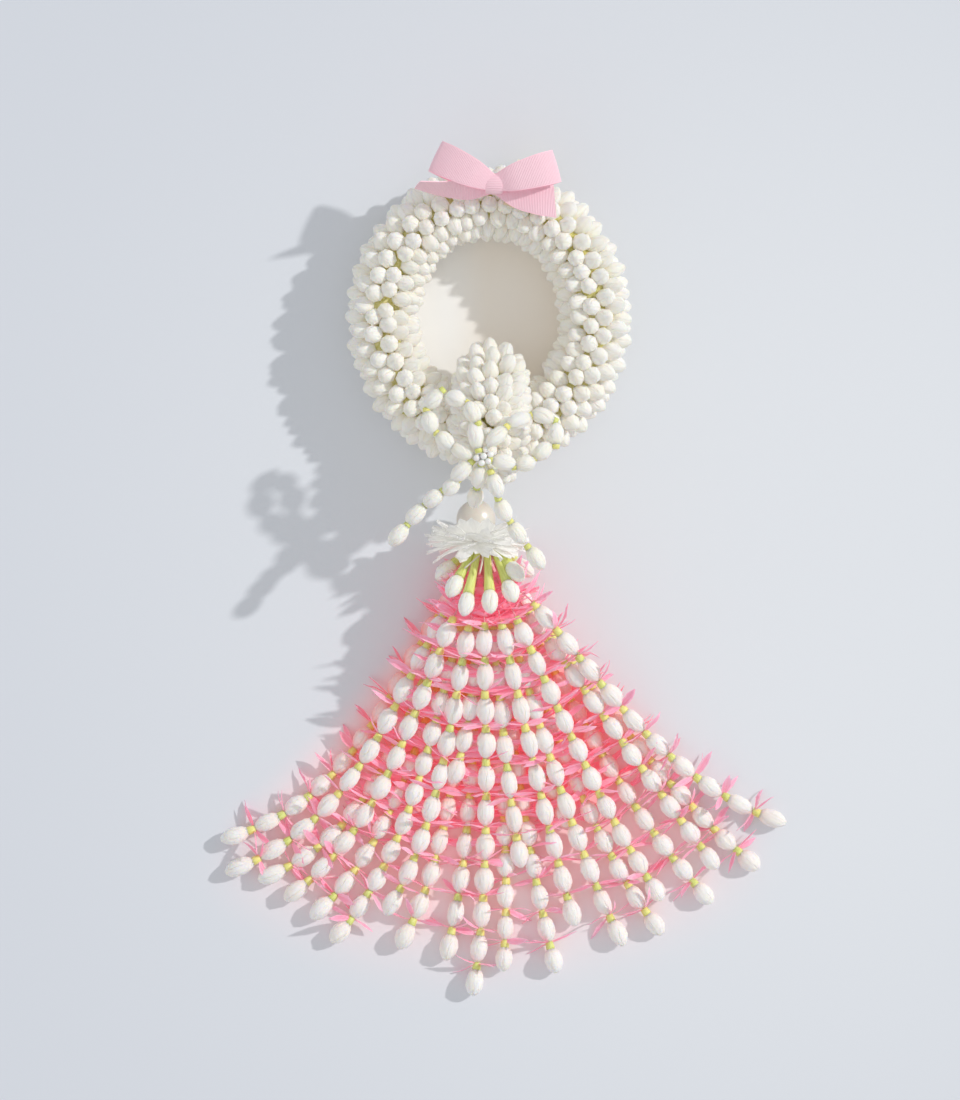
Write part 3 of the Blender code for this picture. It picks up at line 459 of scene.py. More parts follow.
def bud_material(name, in_tassel=False):
    """Waxy white petals, a little creamier at the base, with light passing through them. A painted shade
    makes them creamier in the grooves of the fine lines and along the folds, and a faint painted glow
    lightens them.
    Deep in the tassel they take a painted pink shade and a stronger painted glow, for the light of the
    florets."""
    material, nodes, shader = new_material(name)
    height, shade = creases(nodes)
    fold = folds(nodes, 0.34)
    tone = nodes.attribute("tone")
    if in_tassel:
        white = nodes.mix(tone, srgb(250, 243, 240), srgb(252, 247, 245))
        cream = nodes.mix(tone, srgb(250, 236, 226), srgb(252, 241, 232))
    else:
        white = nodes.mix(tone, srgb(249, 246, 239), srgb(251, 249, 244))
        cream = nodes.mix(tone, srgb(249, 240, 221), srgb(252, 245, 231))
    body = nodes.mix(nodes.rise(nodes.attribute("along"), 0.02, 0.36), cream, white)
    # Painted shade: creamier colour in the grooves of the fine lines.
    creased = nodes.tint(body, cream, nodes.inverse(shade), 0.4)
    # Painted shade: darker beige along the folds between the petals.
    petals = nodes.tint(creased, srgb(229, 221, 202), fold, 0.2)
    if in_tassel:
        # Painted pink shade and stronger glow deep in the tassel, for the light that the florets pass on.
        deep = painted_depth(nodes)
        petals = nodes.tint(petals, srgb(246, 168, 162), deep, 0.65)
        paint_glow(nodes, shader, nodes.mix(deep, srgb(66, 62, 62), srgb(104, 56, 58)))
    else:
        # A faint painted glow, for the light passing through the petals round them.
        paint_glow(nodes, shader, srgb(62, 60, 57))
    nodes.link(petals, shader.inputs["Base Color"])
    nodes.link(nodes.math("ADD", 0.5, nodes.math("MULTIPLY", shade, 0.16)), shader.inputs["Roughness"])
    shader.inputs["Specular IOR Level"].default_value = 0.35
    scatter_light(shader, 0.7, (1.0, 0.85, 0.65), 0.0015)
    relief = nodes.math("SUBTRACT", nodes.math("MULTIPLY", height, 4.0), fold)
    nodes.link(nodes.bump(relief, 0.0005, 0.7), shader.inputs["Normal"])
    return material


def calyx_material(name, in_tassel=False):
    """The green-yellow tube and calyx of a bud, darker in the grooves of its fine lines, a painted shade.
    Deep in the tassel it takes a painted amber shade and glow.
    """
    material, nodes, shader = new_material(name)
    tone = nodes.attribute("tone")
    height, shade = creases(nodes)
    light = nodes.mix(tone, srgb(228, 236, 150), srgb(248, 240, 158))
    dark = nodes.mix(tone, srgb(204, 216, 116), srgb(236, 226, 126))
    # Painted shade: darker green in the grooves of the fine lines.
    body = nodes.mix(shade, dark, light)
    if in_tassel:
        # Painted amber shade and glow deep in the tassel.
        deep = painted_depth(nodes)
        body = nodes.tint(body, srgb(234, 176, 84), deep, 0.5)
        paint_glow(nodes, shader, nodes.mix(deep, srgb(44, 42, 20), srgb(70, 42, 20)))
    nodes.link(body, shader.inputs["Base Color"])
    shader.inputs["Roughness"].default_value = 0.5
    scatter_light(shader, 0.4, (0.9, 1.0, 0.6), 0.001)
    nodes.link(nodes.bump(height, 0.0005, 0.5), shader.inputs["Normal"])
    return material


def stalks_material():
    """The mass of green stalks seen between the ring's buds."""
    material, nodes, shader = new_material("stalks_green")
    mottle = nodes.noise(nodes.coordinates(), 620.0, 3.0, 0.6)
    nodes.link(nodes.mix(nodes.rise(mottle, 0.35, 0.65), srgb(196, 190, 104), srgb(228, 220, 160)),
               shader.inputs["Base Color"])
    shader.inputs["Roughness"].default_value = 0.65
    nodes.link(nodes.bump(mottle, 0.0012, 0.8), shader.inputs["Normal"])
    return material


def floret_material():
    """Thin matte pink petals, lighter towards the tip, with a painted shade of deeper pink in the grooves of
    their fine lines and a faint painted glow. Deep in the tassel the painted shade is deeper pink and the
    glow stronger.
    """
    material, nodes, shader = new_material("pink_petals")
    tone = nodes.attribute("tone")
    height, shade = creases(nodes)
    light = nodes.mix(tone, srgb(255, 180, 204), srgb(255, 194, 214))
    dark = nodes.mix(tone, srgb(255, 146, 172), srgb(255, 162, 186))
    # Painted shade: deeper pink in the grooves of the fine lines.
    body = nodes.tint(dark, light, shade, 0.85)
    tipped = nodes.mix(nodes.rise(nodes.attribute("along"), 0.45, 1.0), body, light)
    # Painted deeper pink shade and stronger glow deep in the tassel.
    deep = painted_depth(nodes)
    nodes.link(nodes.tint(tipped, srgb(252, 148, 163), deep, 0.8), shader.inputs["Base Color"])
    paint_glow(nodes, shader, nodes.mix(deep, srgb(82, 54, 62), srgb(94, 57, 63)))
    shader.inputs["Roughness"].default_value = 0.7
    shader.inputs["Specular IOR Level"].default_value = 0.25
    scatter_light(shader, 0.7, (1.0, 0.75, 0.8), 0.0003)
    nodes.link(nodes.bump(height, 0.0006, 0.5), shader.inputs["Normal"])
    return material


def skirt_material():
    """Thin white cloth cut as petals, part see-through, a little greyer in the grooves of its fine lines, a
    painted shade, and with a faint painted glow.
    """
    material, nodes, shader = new_material("skirt_cloth")
    weave = nodes.noise(nodes.coordinates(), 1900.0, 2.0, 0.6)
    height, shade = creases(nodes)
    # Painted shade: a little greyer in the grooves of the fine lines.
    nodes.link(nodes.mix(shade, srgb(246, 246, 245), srgb(254, 254, 253)), shader.inputs["Base Color"])
    nodes.link(nodes.math("ADD", 0.42, nodes.math("MULTIPLY", weave, 0.2)), shader.inputs["Roughness"])
    # A faint painted glow, for the light passing through the cloth.
    paint_glow(nodes, shader, srgb(72, 71, 68))
    shader.inputs["Alpha"].default_value = 0.85
    scatter_light(shader, 0.6, (1.0, 1.0, 1.0), 0.0003)
    soft = nodes.bump(height, 0.0012, 0.5)
    nodes.link(nodes.bump(weave, 0.0002, 0.4, soft), shader.inputs["Normal"])
    return material


def pearl_material(name, light, deep, roughness, coat_roughness):
    """A coated pearl: a soft body colour that shifts a little at the edge, under a clear coat."""
    material, nodes, shader = new_material(name)
    edge = nodes.add("ShaderNodeLayerWeight")
    edge.inputs["Blend"].default_value = 0.35
    cloud = nodes.noise(nodes.coordinates(), 260.0, 2.0, 0.5)
    body = nodes.tint(light, deep, cloud, 0.3)
    nodes.link(nodes.tint(body, deep, edge.outputs["Facing"], 0.7), shader.inputs["Base Color"])
    shader.inputs["Roughness"].default_value = roughness
    shader.inputs["Coat Weight"].default_value = 1.0
    shader.inputs["Coat IOR"].default_value = 1.9
    shader.inputs["Coat Roughness"].default_value = coat_roughness
    shader.inputs["Subsurface Weight"].default_value = 0.15
    shader.inputs["Subsurface Scale"].default_value = 0.002
    return material


def grosgrain_material():
    """Pink ribbon with fine ribs across it and a smooth selvedge. Its colour is a deeper pink in the troughs
    between the ribs, a painted shade, and on the selvedge, and a faint painted glow lightens it. UV X runs
    across, from 0 to 1, and UV Y along in millimetres."""
    rib_pitch = 0.75
    material, nodes, shader = new_material("pink_grosgrain")
    across_share, along = nodes.separate(nodes.coordinates("UV"))[:2]
    wave = nodes.math("SINE", nodes.math("MULTIPLY", along, 2 * math.pi / rib_pitch))
    from_middle = nodes.math("ABSOLUTE", nodes.math("SUBTRACT", across_share, 0.5))
    inside = nodes.fall(from_middle, 0.455, 0.475)
    ribs = nodes.math("MULTIPLY", nodes.math("ADD", nodes.math("MULTIPLY", wave, 0.5), 0.5), inside)
    cloud = nodes.noise(nodes.coordinates(), 180.0, 2.0, 0.5)
    light = nodes.mix(cloud, srgb(255, 214, 225), srgb(255, 220, 230))
    # Painted shade: deeper pink in the troughs between the ribs; the selvedge takes the deeper pink too.
    nodes.link(nodes.tint(light, srgb(254, 194, 210), nodes.inverse(ribs), 0.4), shader.inputs["Base Color"])
    # A faint painted glow.
    paint_glow(nodes, shader, srgb(66, 40, 48))
    shader.inputs["Roughness"].default_value = 0.55
    shader.inputs["Sheen Weight"].default_value = 0.25
    shader.inputs["Sheen Roughness"].default_value = 0.4
    nodes.link(nodes.bump(ribs, 0.00025, 0.8), shader.inputs["Normal"])
    return material


def satin_material():
    """Cream satin: smooth, with faint lines along it."""
    material, nodes, shader = new_material("cream_satin")
    lines = nodes.noise(nodes.scaled(nodes.coordinates("UV"), (60.0, 0.15, 1.0)), 1.0, 2.0)
    nodes.link(nodes.mix(lines, srgb(226, 205, 168), srgb(243, 229, 198)), shader.inputs["Base Color"])
    shader.inputs["Roughness"].default_value = 0.32
    shader.inputs["Sheen Weight"].default_value = 0.3
    shader.inputs["Anisotropic"].default_value = 0.4
    nodes.link(nodes.bump(lines, 0.00012, 0.5), shader.inputs["Normal"])
    return material


def thread_material(name, dark, light):
    """Twisted cotton, mottled at the size of its fibres."""
    material, nodes, shader = new_material(name)
    mottle = nodes.noise(nodes.coordinates(), 2400.0, 2.0, 0.6)
    nodes.link(nodes.mix(mottle, dark, light), shader.inputs["Base Color"])
    shader.inputs["Roughness"].default_value = 0.8
    nodes.link(nodes.bump(mottle, 0.0002, 0.7), shader.inputs["Normal"])
    return material


def floor_material():
    """Pale and plain, with a painted pool of light near a place on the tassel's right. Inside the ring it has
    painted light, lighter on the left where the key light falls and warmer on the right for the light that
    the buds throw on it, and between the strands it is a painted pink, where the flowers throw their light
    and colour on it."""
    material, nodes, shader = new_material("pale_floor")
    place = nodes.coordinates()
    # Painted light: the floor is lighter round this place.
    painted_light_place = RING_CENTRE + np.array([0.157, -0.115, 0])
    pale = srgb(232, 235, 240)
    away = nodes.rise(nodes.distance(place, painted_light_place), 0.05, 0.5)
    spread = nodes.mix(away, pale, srgb(216, 220, 228))
    clouded = nodes.tint(spread, pale, nodes.noise(place, 3.0, 3.0, 0.5), 0.15)

    # Painted light in the ring's hole: lighter on the left, warmer on the right.
    x, y = nodes.separate(place)[:2]
    right = nodes.rise(x, FAN_ORIGIN[0] - 0.02, FAN_ORIGIN[0] + 0.004)
    painted_ring_light = nodes.mix(right, srgb(254, 254, 254), srgb(250, 244, 236))
    in_ring = nodes.fall(nodes.distance(place, RING_CENTRE), 0.03, 0.055)
    warmed = nodes.mix(in_ring, clouded, painted_ring_light)

    # Painted pink light on the floor between the tassel's strands.
    from_neck = nodes.distance(place, FAN_ORIGIN)
    straight = nodes.math("DIVIDE", nodes.math("SUBTRACT", float(FAN_ORIGIN[1]), y), from_neck)
    painted_pink_mask = nodes.math("MULTIPLY", nodes.rise(straight, 0.7, 0.84), nodes.fall(from_neck, 0.15, 0.22))
    nodes.link(nodes.mix(painted_pink_mask, warmed, srgb(254, 232, 234)), shader.inputs["Base Color"])
    shader.inputs["Roughness"].default_value = 0.75
    shader.inputs["Specular IOR Level"].default_value = 0.2
    return material


BUD = bud_material("jasmine_petals")
TASSEL_BUD = bud_material("tassel_petals", in_tassel=True)
CALYX = calyx_material("calyx_green")
TASSEL_CALYX = calyx_material("tassel_calyx", in_tassel=True)
STALKS = stalks_material()
FLORET = floret_material()
SKIRT = skirt_material()
PEARL = pearl_material("neck_pearl_coat", srgb(232, 225, 214), srgb(196, 183, 170), 0.4, 0.3)
BEAD = pearl_material("bead_coat", srgb(253, 252, 250), srgb(226, 224, 220), 0.2, 0.12)
GROSGRAIN = grosgrain_material()
SATIN = satin_material()
THREAD = thread_material("cotton_thread", srgb(222, 214, 196), srgb(247, 243, 232))
TASSEL_THREAD = thread_material("pink_thread", srgb(232, 150, 160), srgb(248, 184, 194))


# Mesh building


def unit(vectors):
    """Each vector at length 1."""
    return vectors / np.maximum(np.linalg.norm(vectors, axis=-1, keepdims=True), 1e-9)


def circle(count):
    """Turns at even steps round a circle."""
    return 2 * math.pi * np.arange(count) / count


class Piece:
    """Gathers closed bodies into one mesh. Each body has vertices, faces of three or four corners, a
    material, and for each vertex a share along its body, a place for fine detail, a facing round its body, a
    tone, a UV and whether it is on a sheet's rim. An edge between two vertices on a rim is sharp."""

    def __init__(self):
        self.points = []
        self.alongs = []
        self.places = []
        self.facings = []
        self.tones = []
        self.uvs = []
        self.rims = []
        self.faces = []
        self.count = 0

    def add(self, points, faces, material=0, along=None, place=None, tone=0.5, uv=None, facing=None,
            rim=False):
        """Adds vertices in millimetres, and arrays of faces with one row of corners for each face."""
        points = np.asarray(points, float).reshape(-1, 3)
        size = len(points)
        self.points.append(points)
        self.alongs.append(np.zeros(size) if along is None else np.broadcast_to(along, size))
        self.places.append(points if place is None else place)
        self.facings.append(np.zeros((size, 3)) if facing is None else facing)
        self.tones.append(np.broadcast_to(tone, size))
        self.uvs.append(np.zeros((size, 2)) if uv is None else uv)
        self.rims.append(np.broadcast_to(rim, size))
        for corners in faces:
            self.faces.append((np.asarray(corners, int) + self.count, material))
        self.count += size

    def build(self, name, materials, replaced=()):
        """The finished object. It rides on the part's one body and stands for the CAD nodes it replaces."""
        points = np.concatenate(self.points) * MM + RING_CENTRE
        loops = np.concatenate([corners.reshape(-1) for corners, material in self.faces])
        totals = np.concatenate([np.full(len(corners), corners.shape[1]) for corners, material in self.faces])
        kinds = np.concatenate([np.full(len(corners), material) for corners, material in self.faces])
        mesh = bpy.data.meshes.new(name)
        mesh.vertices.add(len(points))
        mesh.vertices.foreach_set("co", points.astype(np.float32).reshape(-1))
        mesh.loops.add(len(loops))
        mesh.loops.foreach_set("vertex_index", loops.astype(np.int32))
        mesh.polygons.add(len(totals))
        starts = np.concatenate([[0], np.cumsum(totals)[:-1]])
        mesh.polygons.foreach_set("loop_start", starts.astype(np.int32))
        mesh.polygons.foreach_set("material_index", kinds.astype(np.int32))
        mesh.update(calc_edges=True)
        for label, values in (("along", self.alongs), ("tone", self.tones)):
            layer = mesh.attributes.new(label, "FLOAT", "POINT")
            layer.data.foreach_set("value", np.concatenate(values).astype(np.float32))
        for label, values in (("place", self.places), ("facing", self.facings)):
            layer = mesh.attributes.new(label, "FLOAT_VECTOR", "POINT")
            layer.data.foreach_set("vector", np.concatenate(values).astype(np.float32).reshape(-1))
        layer = mesh.uv_layers.new(name="UVMap")
        layer.data.foreach_set("uv", np.concatenate(self.uvs)[loops].astype(np.float32).reshape(-1))
        ends = np.empty(len(mesh.edges) * 2, np.int32)
        mesh.edges.foreach_get("vertices", ends)
        sharp = np.concatenate(self.rims)[ends.reshape(-1, 2)].all(1)
        mesh.attributes.new("sharp_edge", "BOOLEAN", "EDGE").data.foreach_set("value", sharp)
        mesh.polygons.foreach_set("use_smooth", np.full(len(totals), True))
        mesh.validate()
        obj = bpy.data.objects.new(name, mesh)
        for material in materials:
            mesh.materials.append(material)
        bpy.context.scene.collection.objects.link(obj)
        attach(obj, "root")
        if replaced:
            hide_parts(*replaced)
        return obj


def across(axes, spin):
    """Two directions square to each axis, turned about it by the spin."""
    helper = np.where(np.abs(axes[:, 2:3]) < 0.85, np.array([[0, 0, 1.0]]), np.array([[1.0, 0, 0]]))
    first = unit(np.cross(axes, helper))
    second = np.cross(axes, first)
    turn = np.stack([np.cos(spin), np.sin(spin)], 1)[:, :, None]
    return first * turn[:, 0] + second * turn[:, 1], second * turn[:, 0] - first * turn[:, 1]


def turned_faces(rings, sides):
    """Quads between neighbouring rings, and a fan of triangles to the point beyond each end."""
    ring, side = np.meshgrid(np.arange(rings - 1), np.arange(sides), indexing="ij")
    after = (side + 1) % sides
    quads = np.stack([ring * sides + side, ring * sides + after, (ring + 1) * sides + after,
                      (ring + 1) * sides + side], -1).reshape(-1, 4)
    around = np.arange(sides)
    beyond = (around + 1) % sides
    last = (rings - 1) * sides
    ends = np.concatenate([
        np.stack([np.full(sides, rings * sides), beyond, around], 1),
        np.stack([np.full(sides, rings * sides + 1), last + around, last + beyond], 1),
    ])
    return quads, ends


def add_turned(piece, base, tip, radius, profile, sides, material=0, tone=0.5, spin=None, twist=0.0,
               lobes=0.0, bend=0.0, surface=None):
    """Adds many bodies turned about their own lines. The profile gives shares of the length and of the
    radius: at each share, a ring of points lies at that share of the line and that share of the radius from
    it. With lobes, every second side lies in a crease that grows from base to tip, each with its own depth.
    With a bend, the line is a half sine wave. No point lies lower than the surface."""
    base = np.atleast_2d(base).astype(float)
    tip = np.atleast_2d(tip).astype(float)
    count = len(base)
    radius = np.broadcast_to(radius, count)
    tone = np.broadcast_to(tone, count)
    if spin is None:
        spin = RNG.uniform(0, 2 * math.pi, count)
    axes = unit(tip - base)
    length = np.linalg.norm(tip - base, axis=1)
    u, v = across(axes, spin)
    share, wide = np.array(profile).T
    rings = len(share)
    angle = circle(sides)
    angles = angle[None, :] + twist * share[:, None]
    cosines, sines = np.cos(angles), np.sin(angles)
    depth = np.ones((count, rings, sides))
    if lobes:
        creased = RNG.uniform(0.35, 1.6, (count, 1, sides)) * (np.arange(sides) % 2)[None, None, :]
        growth = np.clip(share * 2.2, 0, 1) * np.clip((1.04 - share) * 6, 0, 1)
        depth -= lobes * creased * growth[None, :, None]
        depth *= 1 + RNG.normal(0, 0.018, (count, rings, sides))
    reach = radius[:, None, None] * wide[None, :, None] * depth
    line = base[:, None, :] + axes[:, None, :] * (share[None, :, None] * length[:, None, None])
    if bend:
        sway = RNG.normal(0, bend, count)[:, None] * np.sin(math.pi * share)[None, :]
        line = line + u[:, None, :] * sway[:, :, None]
    rim = (line[:, :, None, :]
           + u[:, None, None, :] * (reach * cosines[None])[..., None]
           + v[:, None, None, :] * (reach * sines[None])[..., None])
    points = np.concatenate([rim.reshape(count, -1, 3), line[:, :1], line[:, -1:]], 1)
    if surface is not None:
        points[..., 2] = np.maximum(points[..., 2], surface)
    per_body = rings * sides + 2
    shares = np.repeat(share, sides)
    offset = RNG.uniform(-20, 20, (count, 1, 3))
    local = np.concatenate([
        np.stack([shares * 2, cosines.reshape(-1), sines.reshape(-1)], 1),
        [[share[0] * 2, 0, 0], [share[-1] * 2, 0, 0]],
    ])
    facing = np.concatenate([
        np.stack([shares, np.tile(np.cos(angle), rings), np.tile(np.sin(angle), rings)], 1),
        [[share[0], 0, 0], [share[-1], 0, 0]],
    ])
    quads, ends = turned_faces(rings, sides)
    step = (np.arange(count) * per_body)[:, None, None]
    piece.add(
        points,
        [(quads[None] + step).reshape(-1, 4), (ends[None] + step).reshape(-1, 3)],
        material,
        along=np.tile(facing[:, 0], count),
        place=(local[None] + offset).reshape(-1, 3),
        tone=np.repeat(tone, per_body),
        facing=np.tile(facing, (count, 1)),
    )


BUD_PROFILE = ((0.0, 0.45), (0.18, 0.82), (0.42, 1.0), (0.66, 0.94), (0.86, 0.64), (0.985, 0.22))
CALYX_PROFILE = ((0.0, 0.84), (0.5, 0.96), (1.0, 1.0))
ROD_PROFILE = ((0.0, 1.0), (0.33, 1.0), (0.66, 1.0), (1.0, 1.0))


def ball_profile(first_turn, rings):
    """The profile of a ball: half of one less the cosine along it, and the sine across, from a small turn at
    one pole to the same at the other."""
    return tuple(((1 - math.cos(turn)) / 2, math.sin(turn))
                 for turn in np.linspace(first_turn, math.pi - first_turn, rings))


def add_buds(piece, base, tip, radius, lobes=0.07, surface=None):
    """Adds white buds with blunt points. The petals of each wind round it by half a radian."""
    tone = RNG.uniform(0, 1, len(np.atleast_2d(base)))
    add_turned(piece, base, tip, radius, BUD_PROFILE, sides=8, tone=tone, twist=0.5, lobes=lobes, bend=0.25,
               surface=surface)


def add_calyxes(piece, base, tip, radius):
    """Adds the green ends of buds, a little narrower at the base."""
    tone = RNG.uniform(0, 1, len(np.atleast_2d(base)))
    add_turned(piece, base, tip, radius, CALYX_PROFILE, sides=7, material=1, tone=tone)


def smooth_line(points, steps):
    """Points on a smooth curve through the given ones (a Catmull-Rom curve), the ends included."""
    points = np.asarray(points, float)
    padded = np.vstack([2 * points[0] - points[1], points, 2 * points[-1] - points[-2]])
    made = []
    for i in range(len(points) - 1):
        a, b, c, d = padded[i:i + 4]
        for t in np.arange(steps) / steps:
            made.append(0.5 * (2 * b + (c - a) * t + (2 * a - 5 * b + 4 * c - d) * t**2
                               + (3 * b - a - 3 * c + d) * t**3))
    made.append(points[-1])
    return np.array(made)


def add_tube(piece, line, radius, sides, material=0, tone=0.5, closed=False, rough=0.0):
    """A round tube along a line of points: a circle at each, square to the line. Its sides are carried along
    the line without twisting. A rough one has each point in or out at random."""
    line = np.asarray(line, float)
    count = len(line)
    radius = np.broadcast_to(radius, count)
    if closed:
        tangent = unit(np.roll(line, -1, 0) - np.roll(line, 1, 0))
    else:
        tangent = unit(np.gradient(line, axis=0))
    side = np.cross(tangent[0], UP)
    if np.linalg.norm(side) < 0.2:
        side = np.cross(tangent[0], [1.0, 0, 0])
    normals = []
    for direction in tangent:
        side = unit(side - direction * side.dot(direction))
        normals.append(side)
    normals = np.array(normals)
    seconds = np.cross(tangent, normals)
    angle = circle(sides)
    depth = 1 + RNG.normal(0, rough, (count, sides, 1)) if rough else 1.0
    rim = line[:, None] + depth * radius[:, None, None] * (
        normals[:, None] * np.cos(angle)[None, :, None] + seconds[:, None] * np.sin(angle)[None, :, None])
    travelled = np.concatenate([[0], np.cumsum(np.linalg.norm(np.diff(line, axis=0), axis=1))])
    place = np.stack([
        np.repeat(travelled * 0.2, sides), np.tile(np.cos(angle), count), np.tile(np.sin(angle), count)], 1)
    along = np.repeat(travelled / travelled[-1], sides)
    quads, ends = turned_faces(count, sides)
    if closed:
        around = np.arange(sides)
        after = (around + 1) % sides
        last = (count - 1) * sides
        seam = np.stack([last + around, last + after, after, around], 1)
        piece.add(rim, [np.concatenate([quads, seam])], material, along, place, tone)
        return
    points = np.concatenate([rim.reshape(-1, 3), line[:1], line[-1:]])
    place = np.vstack([place, [travelled[0] * 0.2, 0, 0], [travelled[-1] * 0.2, 0, 0]])
    piece.add(points, [quads, ends], material, np.append(along, [0, 1]), place, tone)


def add_sheet(piece, grid, thickness, tone=0.5, uv=None):
    """A thin closed sheet through a grid of points: two faces, each half the thickness off the grid along its
    normal, with an edge all round."""
    grid = np.asarray(grid, float)
    rows, columns = grid.shape[:2]
    normal = unit(np.cross(np.gradient(grid, axis=0), np.gradient(grid, axis=1)))
    top = grid + normal * thickness / 2
    bottom = grid - normal * thickness / 2
    size = rows * columns
    index = np.arange(size).reshape(rows, columns)
    one = np.stack([index[:-1, :-1], index[1:, :-1], index[1:, 1:], index[:-1, 1:]], -1).reshape(-1, 4)
    other = one[:, ::-1] + size
    border = np.concatenate([index[0, :-1], index[:-1, -1], index[-1, :0:-1], index[:0:-1, 0]])
    after = np.roll(border, -1)
    edge = np.stack([border, after, after + size, border + size], 1)
    share = np.repeat(np.linspace(0, 1, rows), columns)
    breadth = np.tile(np.linspace(-1, 1, columns), rows)
    place = np.stack([share * 2, breadth, np.zeros(size)], 1) + RNG.uniform(-20, 20, 3)
    uv = np.zeros((size, 2)) if uv is None else uv.reshape(-1, 2)
    rim = np.zeros(size, bool)
    rim[border] = True
    piece.add(
        np.concatenate([top.reshape(-1, 3), bottom.reshape(-1, 3)]),
        [np.concatenate([one, other, edge])],
        along=np.tile(share, 2),
        place=np.tile(place, (2, 1)),
        tone=tone,
        uv=np.tile(uv, (2, 1)),
        rim=np.tile(rim, 2),
    )


# The ring


def rows_and_columns(rows, columns):
    """The row and the column of each bud of a honeycomb."""
    return [part.reshape(-1) for part in np.meshgrid(np.arange(rows), np.arange(columns), indexing="ij")]


def ring_frame(turn):
    """The centre line's point and its outward direction at a turn round the ring, which is an ellipse."""
    cos, sin = np.cos(turn), np.sin(turn)
    centre = np.stack([RING_HALF_WIDTH * cos, RING_HALF_LENGTH * sin, np.full_like(turn, RING_HEIGHT)], -1)
    outward = unit(np.stack([RING_HALF_LENGTH * cos, RING_HALF_WIDTH * sin, np.zeros_like(turn)], -1))
    return centre, outward


def make_ring():
    """Buds threaded side by side, pointing away from the string all round it. Alternate columns lie half a
    row further on, as in a honeycomb. The buds below are pressed flat by the surface."""
    row, column = rows_and_columns(RING_ROWS, RING_COLUMNS)
    count = len(row)
    turn = 2 * math.pi * (row + 0.5 * (column % 2) + RNG.normal(0, 0.055, count)) / RING_ROWS
    tilt = 2 * math.pi * (column + 0.25 + RNG.normal(0, 0.06, count)) / RING_COLUMNS
    centre, outward = ring_frame(turn)
    forward = np.cross(UP, outward)
    way = np.cos(tilt)[:, None] * outward + np.sin(tilt)[:, None] * UP
    lean = unit(way + forward * RNG.normal(0, 0.05, count)[:, None])
    reach = TIP_REACH + RNG.uniform(-0.7, 0.6, count)
    lowest_reach = (RING_HEIGHT - 0.3) / np.maximum(-way[:, 2], 0.01)
    reach = np.where(way[:, 2] < 0, np.minimum(reach, lowest_reach), reach)
    room_along = (RING_MEAN_RADIUS + RING_BUD_MIDDLE * np.cos(tilt)) * 2 * math.pi / RING_ROWS
    room_round = 2 * math.pi * RING_BUD_MIDDLE / RING_COLUMNS
    nearest = np.minimum(np.hypot(room_round, room_along / 2), room_along)
    radius = np.clip(nearest * RING_BUD_FILL, *RING_BUD_RADII) * RNG.normal(1, 0.03, count)
    length = BUD_LENGTH * RNG.normal(1, 0.03, count)
    tip = centre + lean * reach[:, None]
    base = centre + lean * (reach - length)[:, None]
    piece = Piece()
    add_buds(piece, base, tip, radius, lobes=0.035, surface=SURFACE_GAP)
    add_calyxes(piece, base - lean * 1.6, base + lean * 0.5, RING_CALYX_RADIUS)
    piece.build("ring_of_buds", [BUD, CALYX],
                [f"ring_buds_{k + 1}" for k in range(RING_NODES)])
    centre_line = ring_frame(circle(220))[0]
    core = Piece()
    add_tube(core, centre_line, RING_STALKS_RADIUS, 24, closed=True, rough=0.04)
    core.build("ring_stalks", [STALKS])
    string = Piece()
    add_tube(string, centre_line, STRING_RADIUS, 8, closed=True)
    string.build("ring_string", [THREAD], ["ring_thread"])


# The clasp


def ring_middle(x):
    """Y of the ring's centre line at its lower side, at a place across."""
    return -RING_HALF_LENGTH * np.sqrt(1 - (x / RING_HALF_WIDTH) ** 2)


def clasp_depth(cosine):
    """Depth of the clasp at its crest: more on the side that reaches into the ring's hole."""
    return CLASP_DEPTH + CLASP_FRONT * np.maximum(cosine, 0) ** 2


def clasp_point(share, cross, depth):
    """A point of the clasp: share along it and cross over it, both 0 to 1, and depth 1 at a bud's tip. It is
    half of an ellipse across, swept in an arc over the ring's string and narrower towards both ends."""
    turn = CLASP_START + share * (CLASP_END - CLASP_START)
    full = 1 - np.where(share < 0.5, CLASP_FRONT_TAPER, CLASP_END_TAPER) * np.abs(2 * share - 1) ** 4
    tilt = math.pi * (cross - 0.5)
    x = CLASP_X + CLASP_HALF_WIDTH * full * depth * np.sin(tilt)
    radius = CLASP_BASE + clasp_depth(np.cos(turn)) * full * depth * np.cos(tilt)
    return np.stack([x, ring_middle(x) + radius * np.cos(turn), RING_HEIGHT + radius * np.sin(turn)], -1)


def clasp_top(x, y):
    """Height of the clasp's crest above a place on the surface. Its radius depends on its own turn, so a few
    rounds settle both."""
    over = min(abs(x - CLASP_X) / CLASP_HALF_WIDTH, 1)
    ahead = y + RING_HALF_LENGTH
    cosine = 0.0
    for _ in range(CREST_ROUNDS):
        radius = CLASP_BASE + clasp_depth(cosine) * math.sqrt(1 - over**2)
        cosine = min(ahead / radius, 1)
    return RING_HEIGHT + math.sqrt(max(radius**2 - ahead**2, 0))


